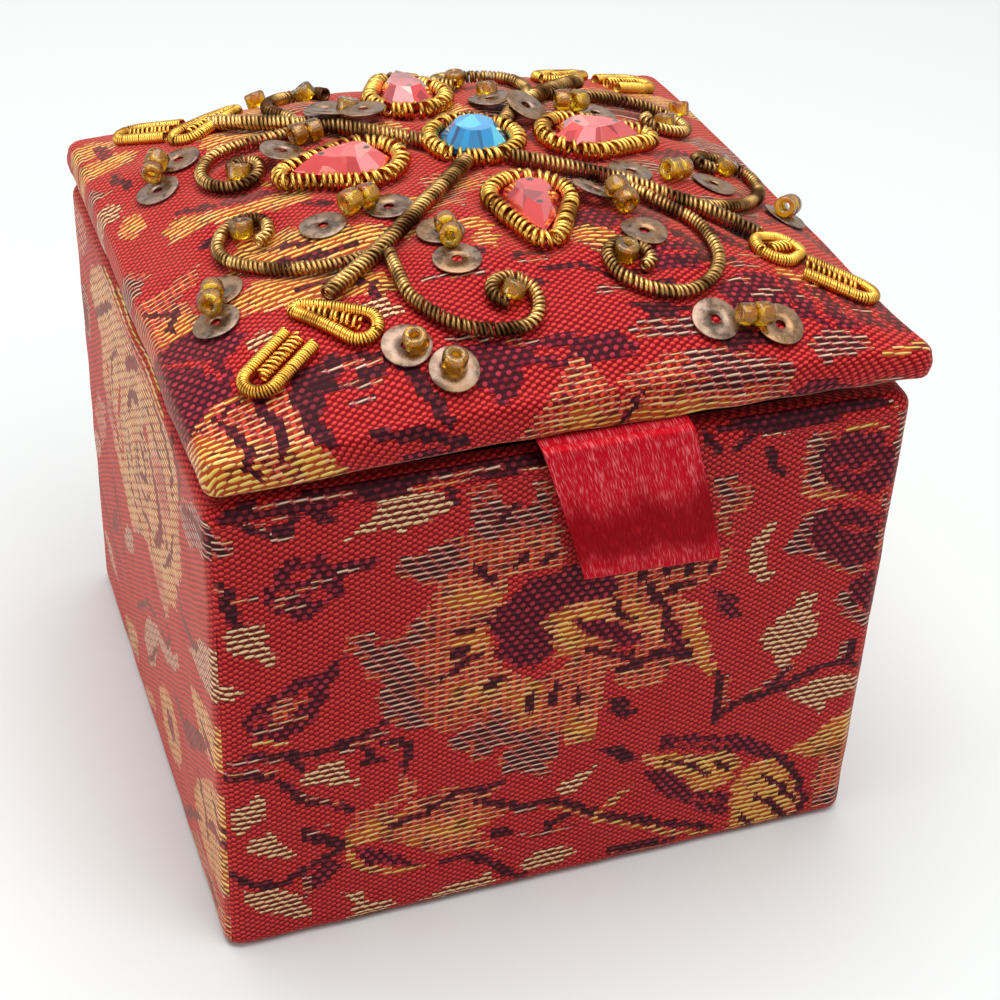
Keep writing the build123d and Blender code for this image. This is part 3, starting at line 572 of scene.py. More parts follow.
class Nodes:
    """A node tree that is filled by calls: each returns its output, and takes outputs or values."""

    def __init__(self, tree):
        self.tree = tree

    def feed(self, sockets, values):
        """Links each value that is a node's output to its socket, and sets the others there."""
        for key, value in values.items():
            if isinstance(value, bpy.types.NodeSocket):
                self.tree.links.new(value, sockets[key])
            else:
                sockets[key].default_value = value

    def node(self, kind, inputs, output=0, **settings):
        """A new node with its settings and inputs."""
        made = self.tree.nodes.new("ShaderNode" + kind)
        for name, value in settings.items():
            setattr(made, name, value)
        self.feed(made.inputs, inputs)
        return made.outputs[output]

    # one Math node each: any operation, then those that the weave uses most
    def math(self, operation, a, b=0.0, c=0.0):
        return self.node("Math", {0: a, 1: b, 2: c}, operation=operation)

    def plus(self, a, b):
        return self.math("ADD", a, b)

    def minus(self, a, b):
        return self.math("SUBTRACT", a, b)

    def times(self, a, b):
        return self.math("MULTIPLY", a, b)

    def line(self, a, slope, start):
        """slope a + start."""
        return self.math("MULTIPLY_ADD", a, slope, start)

    def centred(self, share):
        """A share of 0 to 1, as -1 to 1."""
        return self.line(share, 2.0, -1.0)

    def whole(self, a):
        return self.math("FLOOR", a)

    def part(self, a):
        return self.math("FRACT", a)

    def size(self, a):
        return self.math("ABSOLUTE", a)

    def more(self, a, b):
        return self.math("MAXIMUM", a, b)

    def axes(self, vector):
        """A vector's three numbers."""
        return [self.node("SeparateXYZ", {0: vector}, axis) for axis in range(3)]

    def attribute(self, name, output="Vector"):
        """What a piece's points or faces hold under a name."""
        return self.node("Attribute", {}, output, attribute_name=name)

    def in_place(self):
        """The place on the object, in metres."""
        return self.node("TexCoord", {}, "Object")

    def noise(self, at, scale, detail, rough=0.5):
        """Smooth noise of 0 to 1."""
        return self.node("TexNoise", {"Vector": at, "Scale": scale, "Detail": detail, "Roughness": rough},
                         "Fac")

    def chance(self, a, b):
        """A random number for each pair of whole numbers."""
        pair = self.node("CombineXYZ", {0: a, 1: b})
        return self.node("TexWhiteNoise", {"Vector": pair}, noise_dimensions="2D")

    def ramp(self, value, low, high):
        """0 below low, 1 above high, and a smooth step between."""
        return self.node("MapRange", {"Value": value, "From Min": low, "From Max": high},
                         interpolation_type="SMOOTHSTEP")

    def blend(self, share, a, b):
        """One colour shading into another, by a colour Mix node's inputs 0, 6 and 7."""
        return self.node("Mix", {0: share, 6: a, 7: b}, 2, data_type="RGBA")

    def layer_facing(self):
        """0 where a surface faces the eye, 1 where it is seen flat along it."""
        return self.node("LayerWeight", {"Blend": 0.5}, "Facing")


def srgb(red, green, blue):
    """A colour given as it looks on a screen, 0 to 255, as the linear colour that a shader takes."""
    share = np.array([red, green, blue]) / 255
    linear = np.where(share <= 0.04045, share / 12.92, ((share + 0.055) / 1.055) ** 2.4)
    return (*linear.tolist(), 1.0)


def new_group(name, inputs, outputs):
    """A new node group with its sockets, the calls that fill it, and its ends."""
    group = bpy.data.node_groups.new(name, "ShaderNodeTree")
    for way, sockets in (("INPUT", inputs), ("OUTPUT", outputs)):
        for label, kind in sockets.items():
            group.interface.new_socket(label, in_out=way, socket_type="NodeSocket" + kind)
    start = group.nodes.new("NodeGroupInput")
    end = group.nodes.new("NodeGroupOutput")
    return group, Nodes(group), start.outputs, end.inputs


WARP = 0.43
WEFT = 0.577


def brocade_group():
    """The weave, thread by thread: red ground grains in wavy rows, and the figures' weft floats.

    A pick is one row of weft, an end one warp thread, a float one length of weft between two
    tie-downs. Each figure is read at the middle of the crossing that a point lies in, as value +
    slope (middle - point), so that its edge steps from thread to thread as a loom makes it.
    """
    sockets = {"Cloth": "Vector", **{sort.title(): "Vector" for sort in FIELDS}}
    group, n, given, out = new_group("brocade weave", sockets,
                                     {"Color": "Color", "Height": "Float", "Gold": "Float"})
    u0, v0, tone = n.axes(given["Cloth"])
    drift_u, drift_v = (n.noise(given["Cloth"], scale, 1.0) for scale in (0.21, 0.16))
    ends = n.math("DIVIDE", n.line(drift_u, 0.4, n.minus(u0, 0.2)), WARP)
    picks = n.math("DIVIDE", n.line(drift_v, 0.5, n.minus(v0, 0.25)), WEFT)
    end, in_end = n.whole(ends), n.part(ends)
    pick, in_pick = n.whole(picks), n.part(picks)
    pick_chance = n.chance(pick, 7.5)

    # ground grain: a flat dome on each crossing, every other end nearly half a pick up, with a painted
    # highlight on each dome's upper half and painted shade in the hollows between domes
    raised = n.line(n.math("FLOORED_MODULO", end, 2.0), 0.46, picks)
    row = n.whole(raised)
    across, up = n.centred(in_end), n.centred(n.part(raised))
    lean = n.line(across, -0.12, up)
    hollow = n.plus(n.times(n.times(across, across), 0.6), n.times(n.times(lean, lean), 1.75))
    dome = n.more(n.minus(1.0, hollow), 0.0)
    grain = n.chance(end, row)
    # painted highlight: each grain's colour goes from dark red at its lower side to light red at its upper
    # side
    face = n.blend(n.ramp(n.line(grain, 0.4, up), -0.35, 0.55), srgb(170, 4, 16), srgb(242, 76, 70))
    face = n.blend(n.times(grain, 0.3), face, srgb(166, 14, 24))
    rise = n.minus(dome, n.times(n.chance(row, end), 0.12))
    # painted shade: the hollows between the domes are darkened to a deep red
    ground = n.blend(n.ramp(rise, 0.0, 0.55), srgb(124, 0, 8), face)

    # gold floats: three ends long, each row's tie-downs one end further on, some of them left out
    stepped = n.line(pick, 1 / 3, n.math("DIVIDE", ends, 3.0))
    float_of, in_float = n.whole(stepped), n.part(stepped)
    chance, before = n.chance(float_of, pick), n.chance(n.minus(float_of, 1.0), pick)
    side = n.size(n.centred(in_float))
    right_half = n.math("GREATER_THAN", in_float, 0.5)
    tied = n.line(tone, 0.08, 0.8)
    joined = n.plus(n.times(n.math("GREATER_THAN", chance, tied), right_half),
                    n.times(n.math("GREATER_THAN", before, tied), n.minus(1.0, right_half)))
    room = n.math("SQRT", n.more(n.minus(1.0, n.math("POWER", side, 2.4)), joined))
    slant = n.line(in_float, 0.2, -0.1)
    off = n.minus(n.minus(in_pick, 0.5), slant)
    plump = n.line(n.more(n.times(tone, -1.0), 0.0), 0.12, 0.12)
    half = n.times(room, n.line(chance, 0.08, plump))
    thread = n.ramp(n.minus(half, n.size(off)), -0.05, 0.08)
    # painted highlight: lit is 1 on the upper side of each weft thread and 0 on its lower side
    lit = n.ramp(off, -0.16, 0.1)

    # their silk, painted lighter on each float's upper side, and the ground seen between them: rosy, yellow
    # or pale by the figure's tone
    ragged = n.line(chance, 0.9, n.minus(tone, 0.45))
    is_pale, is_yellow = n.ramp(ragged, 0.35, 0.65), n.ramp(ragged, -0.35, -0.65)

    def by_tone(rosy, yellow, pale):
        """One of three colours, by the tone."""
        return n.blend(is_pale, n.blend(is_yellow, rosy, yellow), pale)

    # top and low are lit and shaded copies of each silk: the upper side of a float is painted light, its
    # lower side painted darker
    top = by_tone(srgb(255, 226, 152), srgb(255, 234, 120), srgb(255, 230, 204))
    low = by_tone(srgb(232, 144, 62), srgb(236, 170, 44), srgb(222, 142, 92))
    # painted shade: the ground seen between rosy floats is darker in the hollows between its grains
    rosy_gap = n.blend(n.ramp(dome, 0.2, 0.8), srgb(118, 6, 6), srgb(222, 62, 34))
    gap = by_tone(rosy_gap, srgb(172, 64, 14), srgb(56, 0, 6))
    shaded = n.ramp(n.noise(given["Cloth"], 0.55, 2.0), 0.52, 0.64)
    gap = n.blend(n.times(shaded, 0.8), gap, srgb(58, 2, 10))
    binder = n.times(n.ramp(side, 0.62, 0.78), n.ramp(n.size(off), 0.38, 0.24))
    binder = n.times(binder, n.minus(1.0, n.times(is_yellow, 0.7)))
    gap = n.blend(n.times(binder, 0.9), gap, srgb(198, 76, 80))
    silk = n.blend(n.times(before, 0.3), n.blend(lit, low, top), low)
    silk = n.blend(n.times(pick_chance, 0.25), silk, low)
    gold = n.blend(thread, gap, silk)

    # tan leaves: floats of one end, in brick order
    in_tan = n.part(n.line(pick, 0.5, n.math("DIVIDE", ends, 2.0)))
    tan_side = n.size(n.centred(in_tan))
    swell = n.math("SQRT", n.more(n.minus(1.0, n.math("POWER", tan_side, 2.5)), 0.0))
    swell = n.times(swell, n.line(chance, 0.1, 0.24))
    tan_thread = n.ramp(n.minus(swell, n.size(off)), -0.05, 0.08)
    # painted highlight: each tan float is lighter on its upper side, by lit
    tan_silk = n.blend(lit, srgb(224, 150, 90), srgb(255, 226, 172))
    tan_silk = n.blend(n.times(chance, 0.35), tan_silk, srgb(206, 132, 84))
    tan_gap = n.blend(n.times(n.ramp(tan_side, 0.6, 0.95), 0.7), srgb(82, 8, 6), srgb(160, 56, 34))
    tan = n.blend(tan_thread, tan_gap, tan_silk)

    # plum: dark weft over two ends of three, the red warp showing as dull dots in a twill line, and a painted
    # highlight along the middle of each weft thread
    in_twill = n.math("FLOORED_MODULO", n.plus(end, pick), 2.0)
    round_dot = n.line(n.times(across, across), 0.2, n.size(off))
    dot = n.times(n.math("LESS_THAN", in_twill, 0.5), n.ramp(round_dot, 0.5, 0.24))
    # painted highlight along each weft thread's middle; the same mask raises the thread's crest in the relief
    weft_crest_highlight = n.times(n.ramp(n.size(off), 0.3, 0.05), n.line(chance, 0.5, 0.1))
    warp_dot = n.blend(grain, srgb(188, 52, 68), srgb(128, 16, 38))
    plum = n.blend(weft_crest_highlight, srgb(52, 0, 12), srgb(112, 24, 46))
    plum = n.blend(n.times(dot, 0.95), plum, warp_dot)
    # the dark weave has the same painted highlight along its weft
    dark = n.blend(weft_crest_highlight, srgb(40, 0, 8), srgb(104, 34, 44))
    dark = n.blend(n.times(dot, n.times(grain, 0.6)), dark, srgb(170, 50, 64))

    # the figures laid over the ground, each from its distance at the crossing's middle
    to_middle_u = n.times(n.minus(0.5, in_end), WARP)
    to_middle_u = n.plus(to_middle_u, n.line(pick_chance, 0.7, -0.35))
    to_middle_v = n.times(n.minus(0.5, in_pick), WEFT)
    layers = {"plum": (plum, n.line(dot, 0.06, n.times(weft_crest_highlight, 0.08))),
              "tan": (tan, n.times(tan_thread, 0.14)),
              "dark": (dark, n.times(weft_crest_highlight, 0.08)),
              "gold": (gold, n.times(thread, n.line(lit, 0.08, 0.12)))}
    colour, height, masks = ground, n.times(dome, 0.09), {}
    for sort, (silk, raised_by) in layers.items():
        value, slope_u, slope_v = n.axes(given[sort.title()])
        inside = n.line(slope_u, to_middle_u, n.line(slope_v, to_middle_v, value))
        masks[sort] = n.ramp(inside, -0.03, 0.03)
        colour = n.blend(masks[sort], colour, silk)
        height = n.node("Mix", {0: masks[sort], 2: height, 3: raised_by})
    gilt = n.more(n.times(masks["gold"], thread), n.times(masks["tan"], tan_thread))
    n.feed(out, {"Color": colour, "Height": height, "Gold": gilt})
    return group


def new_material(name):
    """A material with its calls and its Principled shader's sockets."""
    material = bpy.data.materials.new(name)
    material.use_nodes = True
    return material, Nodes(material.node_tree), material.node_tree.nodes["Principled BSDF"].inputs


def relief(n, height, distance):
    """The normal of a surface that rises by a distance in metres for a height of 1."""
    return n.node("Bump", {"Height": height, "Distance": distance, "Strength": 1.0})


BROCADE_WEAVE = brocade_group()


def brocade_material():
    """Silky red brocade: painted paler where it is seen flat along it, as a painted sheen, and a little more
    gloss on the weft.
    """
    material, n, shader = new_material("brocade")
    placed = n.tree.nodes.new("ShaderNodeGroup")
    placed.node_tree = BROCADE_WEAVE
    n.feed(placed.inputs, {name.title(): n.attribute(name) for name in ("cloth",) + FIELDS})
    weave = placed.outputs
    # painted sheen: the base colour is blended towards a pale pink where the surface is seen flat along it
    painted_grazing_sheen = n.times(n.ramp(n.layer_facing(), 0.34, 0.92), 0.18)
    n.feed(shader, {"Base Color": n.blend(painted_grazing_sheen, weave["Color"], srgb(230, 158, 126)),
                    "Roughness": n.line(weave["Gold"], -0.2, 0.62),
                    "Specular IOR Level": 0.12, "Coat Roughness": 0.42,
                    "Coat Weight": n.times(weave["Gold"], 0.72),
                    "Sheen Weight": 0.2, "Sheen Roughness": 0.3, "Sheen Tint": srgb(255, 190, 190),
                    "Normal": relief(n, weave["Height"], 0.001)})
    return material


BROCADE = brocade_material()
WALL_DRAWINGS = {"front": (FRONT_DRAWING, (0, 0)), "left": (LEFT_DRAWING, (0, 0)),
                 "back": (FRONT_DRAWING, (8, -3)), "right": (LEFT_DRAWING, (-6, 4))}
for shift, (wall, (drawing, drawn_at)) in enumerate(WALL_DRAWINGS.items()):
    piece = wall_cloth(wall, drawing, drawn_at, shift)
    piece.data.materials.append(BROCADE)
    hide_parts("wall_brocade")


# Lid brocade: the embroidered cloth drawn over the wadding, down the board's sides and glued under
# it. It swells between its edges, is drawn down where the cords are stitched, and its front right
# corner is a folded tip that stands out past the board.
LID_SIDE = 3.0
LID_CROWN = 6.6
FULL_ACROSS = 2.4
FULL_ALONG = 4.2
GAP_BACK = 0.9
GAP_FRONT = 1.8
LID_HALF = np.array([30.0, 28.5])
LID_TILT = np.arctan2(GAP_FRONT - GAP_BACK, 2 * LID_HALF[1])
LID_HEM = 9.0
LID_STEP = 0.31
PLAN_CORNER = 1.5
EDGE_ROUND = 0.9
FOOT_ROUND = 0.7
QUARTER_TURN = 1.57
STITCH_DIP = 0.42
STITCH_REACH = 1.25
CREASE = 0.16
CREASE_LIFT = 0.12
EDGE_WAVE = 0.22
EDGE_POWER = 12
TIP_REACH = 3.2
TIP_PULL = np.array([1.15, -0.25, -0.5])
SAG_MIDDLE = -28.0
SAG_REACH = np.array([17.0, 9.0])
SAG_DROP = 0.5


def crown_height(x, y):
    """The pad's top: side + crown (1 - |x / half|^across) (1 - |y / half|^along)."""
    across = 1 - np.minimum(np.abs(x) / LID_HALF[0], 1) ** FULL_ACROSS
    along = 1 - np.minimum(np.abs(y) / LID_HALF[1], 1) ** FULL_ALONG
    return LID_SIDE + LID_CROWN * across * along


def unit(vectors):
    """Vectors brought to a length of one."""
    return vectors / np.maximum(np.linalg.norm(vectors, axis=-1, keepdims=True), 1e-9)


def crown_normal(x, y):
    """Upward normal of the crown, from differences of its height a tenth of a millimetre apart."""
    step = 0.1
    slope_x = (crown_height(x + step, y) - crown_height(x - step, y)) / (2 * step)
    slope_y = (crown_height(x, y + step) - crown_height(x, y - step)) / (2 * step)
    return unit(np.stack([-slope_x, -slope_y, np.ones_like(slope_x)], -1))


def over_crown(places, lift):
    """Places in shares of the lid's half size, as points that far over the crown."""
    x, y = np.moveaxis(np.asarray(places, float) * LID_HALF, -1, 0)
    return np.stack([x, y, crown_height(x, y)], -1) + crown_normal(x, y) * np.asarray(lift)[..., None]


def place_lid(points):
    """From the lid's own frame to the box's: tilted open about the lid's lower back edge."""
    points = np.asarray(points, float)
    y, z = points[..., 1] - LID_HALF[1], points[..., 2]
    return np.stack([points[..., 0], y * np.cos(LID_TILT) + z * np.sin(LID_TILT) + LID_HALF[1],
                     z * np.cos(LID_TILT) - y * np.sin(LID_TILT) + box_top + GAP_BACK], -1)


def smooth(places, steps=14):
    """A curve through the places: each span is the cubic that leaves along its neighbours' line."""
    p = np.array(places, float)
    p = np.concatenate([p[:1], p, p[-1:]])
    t = (np.arange(steps) / steps)[:, None]
    spans = [(2 * b + (c - a) * t + (2 * a - 5 * b + 4 * c - d) * t ** 2
              + (3 * b - a - 3 * c + d) * t ** 3) / 2 for a, b, c, d in zip(p[:-3], p[1:-2], p[2:-1], p[3:])]
    return np.concatenate(spans + [p[-1:]])


STEMS = {
    "front_left": [(0.0, 0.0), (-0.10, -0.12), (-0.20, -0.23), (-0.30, -0.34), (-0.38, -0.42),
                   (-0.47, -0.49), (-0.56, -0.55)],
    "front_right": [(0.13, -0.01), (0.25, -0.10), (0.38, -0.19), (0.50, -0.30), (0.60, -0.39),
                    (0.70, -0.50)],
    "back_left": [(-0.08, 0.16), (-0.20, 0.27), (-0.30, 0.37), (-0.42, 0.47), (-0.52, 0.57),
                  (-0.60, 0.66)],
    "back_right": [(0.18, 0.22), (0.27, 0.35), (0.36, 0.44), (0.48, 0.55), (0.58, 0.64)],
}
SCROLLS = {
    "left_front": [(-0.37, -0.42), (-0.48, -0.43), (-0.60, -0.38), (-0.68, -0.31), (-0.74, -0.22),
                   (-0.755, -0.13), (-0.72, -0.05), (-0.66, -0.03), (-0.615, -0.08), (-0.62, -0.15),
                   (-0.655, -0.175)],
    "front_left": [(-0.36, -0.43), (-0.365, -0.53), (-0.365, -0.63), (-0.33, -0.71), (-0.26, -0.78),
                   (-0.16, -0.81), (-0.08, -0.80), (-0.045, -0.745), (-0.05, -0.685), (-0.09, -0.645),
                   (-0.14, -0.655), (-0.155, -0.70), (-0.125, -0.735)],
    "right_front": [(0.53, -0.32), (0.62, -0.34), (0.74, -0.29), (0.83, -0.20), (0.885, -0.10),
                    (0.90, 0.0), (0.86, 0.06), (0.79, 0.07), (0.74, 0.045), (0.735, 0.0), (0.775, -0.025)],
    "front_right": [(0.41, -0.25), (0.47, -0.36), (0.52, -0.45), (0.53, -0.55), (0.51, -0.65),
                    (0.45, -0.73), (0.37, -0.765), (0.28, -0.75), (0.21, -0.69), (0.20, -0.61),
                    (0.25, -0.56), (0.305, -0.59), (0.31, -0.645), (0.28, -0.665)],
    "left_back": [(-0.36, 0.40), (-0.47, 0.40), (-0.58, 0.42), (-0.66, 0.40), (-0.705, 0.32),
                  (-0.69, 0.23), (-0.63, 0.17), (-0.57, 0.19), (-0.55, 0.26), (-0.585, 0.305), (-0.63, 0.29)],
    "back_left": [(-0.38, 0.44), (-0.40, 0.53), (-0.43, 0.63), (-0.40, 0.73), (-0.33, 0.79),
                  (-0.26, 0.77), (-0.235, 0.69)],
    "right_back": [(0.42, 0.48), (0.52, 0.47), (0.63, 0.48), (0.74, 0.46), (0.81, 0.40), (0.82, 0.32),
                   (0.77, 0.265), (0.70, 0.26), (0.675, 0.305), (0.70, 0.345)],
    "back_right": [(0.33, 0.42), (0.36, 0.53), (0.35, 0.63), (0.30, 0.71), (0.22, 0.75), (0.14, 0.72),
                   (0.11, 0.65), (0.15, 0.59)],
}
BLUE_AT = (0.06, 0.13)
BLUE_RADIUS = 2.9
DROPS = {"left": ((-0.29, 0.085), 172.0), "right": ((0.385, 0.11), 5.0),
         "front": ((0.09, -0.285), -98.0), "back": ((-0.03, 0.495), 88.0)}
DROP_RADIUS = 2.45
DROP_TIP = 0.35
DROP_LENGTH = 5.6
RING_OUT = 0.95


def turned(x, y, centre, angle):
    """Points in millimetres about a centre, as places in shares of the lid."""
    turn = np.radians(angle)
    return np.stack([centre[0] + (x * np.cos(turn) - y * np.sin(turn)) / LID_HALF[0],
                     centre[1] + (x * np.sin(turn) + y * np.cos(turn)) / LID_HALF[1]], -1)


def drop_outline(radius, tip, length, gap, count=90):
    """A drop round two circles and their common tangents, even in arc length, open by a gap.

    The tangents touch both circles where the cosine of the bearing is (radius - tip) / length.
    """
    lean = np.arccos((radius - tip) / length) if length else np.pi / 2
    big = np.linspace(np.pi - gap / radius, lean, count)
    small = np.linspace(lean, -lean, count // 3)
    x = np.concatenate([radius * np.cos(big), length + tip * np.cos(small), radius * np.cos(big[::-1])])
    y = np.concatenate([radius * np.sin(big), tip * np.sin(small), -radius * np.sin(big[::-1])])
    run = np.concatenate([[0], np.cumsum(np.hypot(np.diff(x), np.diff(y)))])
    even = np.linspace(0, run[-1], 2 * count)
    return np.interp(even, run, x), np.interp(even, run, y)


def ring_route(drop, gap):
    """The way of the ring round a drop stone: the stone's outline, moved out to the cord's middle."""
    x, y = drop_outline(DROP_RADIUS + RING_OUT, DROP_TIP + RING_OUT, DROP_LENGTH, gap)
    return turned(x, y, *drop)


stitched = np.concatenate([smooth(places, 10) for routes in (STEMS, SCROLLS) for places in routes.values()]
                          + [ring_route(drop, 0.1) for drop in DROPS.values()]) * LID_HALF


def from_stitches(x, y):
    """Distance of each point to the nearest stitched-down cord, in plan."""
    best = np.full(x.shape, 99.0)
    for part in np.array_split(stitched, 40):
        away = np.hypot(x[..., None] - part[:, 0], y[..., None] - part[:, 1]).min(-1)
        best = np.minimum(best, away)
    return best


def lid_plan(u, v, inset):
    """A grid square laid on the lid's outline set in: corners of the square turn to round corners.

    Where a point lies past the corner circle's middle both ways, its offset from that middle is
    scaled by the greater of its two shares over their length.
    """
    half = LID_HALF - inset
    round_by = max(PLAN_CORNER - inset, 1e-6)
    x, y = u * half[0], v * half[1]
    qx, qy = (np.abs(x) - half[0] + round_by) / round_by, (np.abs(y) - half[1] + round_by) / round_by
    corner = (qx > 0) & (qy > 0)
    shrink = np.where(corner, np.maximum(qx, qy) / np.maximum(np.hypot(qx, qy), 1e-9), 1)
    x = np.where(corner, np.sign(x) * (half[0] - round_by + qx * shrink * round_by), x)
    y = np.where(corner, np.sign(y) * (half[1] - round_by + qy * shrink * round_by), y)
    return x, y


def pull(x, y):
    """Where hand work departs from the true outline: wavy edges, a tip front right, a sag front left."""
    share_x, share_y = np.abs(x) / LID_HALF[0], np.abs(y) / LID_HALF[1]
    edge = np.maximum(share_x, share_y) ** EDGE_POWER
    wave_x = edge * (EDGE_WAVE * ripple(x * 0, y, 41, 16.0) * share_x ** EDGE_POWER)
    wave_y = edge * (EDGE_WAVE * ripple(x, y * 0, 42, 16.0) * share_y ** EDGE_POWER)
    tip = np.exp(-((x - LID_HALF[0]) ** 2 + (y + LID_HALF[1]) ** 2) / TIP_REACH ** 2)
    sag = np.exp(-((x - SAG_MIDDLE) / SAG_REACH[0]) ** 2 - ((y + LID_HALF[1]) / SAG_REACH[1]) ** 2)
    return x + wave_x + TIP_PULL[0] * tip, y + wave_y + TIP_PULL[1] * tip, TIP_PULL[2] * tip - SAG_DROP * sag


def round_grid(rows, columns):
    """The points of a grid's four sides, in order round it."""
    index = np.arange(rows * columns).reshape(rows, columns)
    return np.concatenate([index[0, :-1], index[:-1, -1], index[-1, :0:-1], index[:0:-1, 0]])


def lid_cloth():
    """The top grid, then its rim carried round the edge, down the side and in under the board.

    The cloth's own lengths are summed along the crown, and grow past the rim with the way that each
    ring has gone. The last two numbers of a cloth place lead from it to the plan, where the drawing
    is read. A ring is an inset of the outline, a height and the way gone from the rim.
    """
    across, along = (2 * LID_HALF / LID_STEP).astype(int)
    u, v = np.meshgrid(np.linspace(-1, 1, across), np.linspace(-1, 1, along))
    x, y = lid_plan(u, v, EDGE_ROUND)
    level = crown_height(x, y)
    cloth_x = np.cumsum(np.hypot(np.diff(x, axis=1, prepend=x[:, :1]),
                                 np.diff(level, axis=1, prepend=level[:, :1])), 1)
    cloth_y = np.cumsum(np.hypot(np.diff(y, axis=0, prepend=y[:1]),
                                 np.diff(level, axis=0, prepend=level[:1])), 0)
    cloth_x, cloth_y = cloth_x - cloth_x[:, -1:] / 2, cloth_y - cloth_y[-1:] / 2
    dip = np.exp(-(from_stitches(x, y) / STITCH_REACH) ** 2)
    inner = np.clip((1 - np.maximum(np.abs(u), np.abs(v))) * 8, 0, 1)
    z = level - STITCH_DIP * dip * inner + (CREASE * ripple(x, y, 7, 11.0) + CREASE_LIFT) * inner
    px, py, pz = pull(x, y)
    points = [np.stack([px, py, z + pz], -1).reshape(-1, 3)]
    cloths = [np.stack([cloth_x, cloth_y, x - cloth_x, y - cloth_y], -1).reshape(-1, 4)]
    faces = [grid_faces(along, across)]

    loop = round_grid(along, across)
    rim_u, rim_v = u.ravel()[loop], v.ravel()[loop]
    rim_z, rim_cloth = z.ravel()[loop], cloths[0][loop]
    edge_x, edge_y = lid_plan(rim_u, rim_v, 0.0)
    in_x, in_y = lid_plan(rim_u, rim_v, EDGE_ROUND)
    out = np.stack([edge_x - in_x, edge_y - in_y], -1) / EDGE_ROUND
    rings = [(EDGE_ROUND * (1 - np.sin(a)), rim_z - EDGE_ROUND * (1 - np.cos(a)), EDGE_ROUND * a)
             for a in np.linspace(0, np.pi / 2, 6)[1:]]
    top_z = rim_z - EDGE_ROUND
    gone = EDGE_ROUND * QUARTER_TURN
    rings += [(-0.12 * np.sin(np.pi * s), top_z + (FOOT_ROUND - top_z) * s, gone + (top_z - FOOT_ROUND) * s)
              for s in np.linspace(0, 1, 8)[1:]]
    gone = gone + top_z - FOOT_ROUND
    rings += [(FOOT_ROUND * (1 - np.cos(a)), FOOT_ROUND - FOOT_ROUND * np.sin(a), gone + FOOT_ROUND * a)
              for a in np.linspace(0, np.pi / 2, 5)[1:]]
    gone = gone + FOOT_ROUND * QUARTER_TURN
    rings += [(FOOT_ROUND + t, 0 * rim_z, gone + t) for t in np.arange(1.0, LID_HEM, 1.6)]
    total, last = len(points[0]), loop
    for inset, height, gone in rings:
        x, y = lid_plan(rim_u, rim_v, max(inset, 0.0))
        x, y = x - min(inset, 0) * out[:, 0], y - min(inset, 0) * out[:, 1]
        px, py, pz = pull(x, y)
        height = np.asarray(height)
        wave = CREASE * ripple(x, y, 43, 9.0) * (height < 1.5) * (inset < FOOT_ROUND)
        points.append(np.stack([px, py, height + pz * (height > 0.2) + wave], -1))
        reach = np.asarray(gone)[..., None] * np.ones((len(loop), 1))
        cloths.append(rim_cloth + np.concatenate([out * reach, 0 * out], -1))
        ring = total + np.arange(len(loop))
        faces.append(np.stack([last, ring, np.roll(ring, -1), np.roll(last, -1)], -1))
        total, last = total + len(loop), ring
    points, cloths = np.concatenate(points), np.concatenate(cloths)
    piece = mesh_piece("lid_brocade_cover", place_lid(points), np.concatenate(faces), "lid")
    weave_on(piece, cloths[:, 0], cloths[:, 1], LID_DRAWING, (cloths[:, 2], cloths[:, 3]))
    return piece
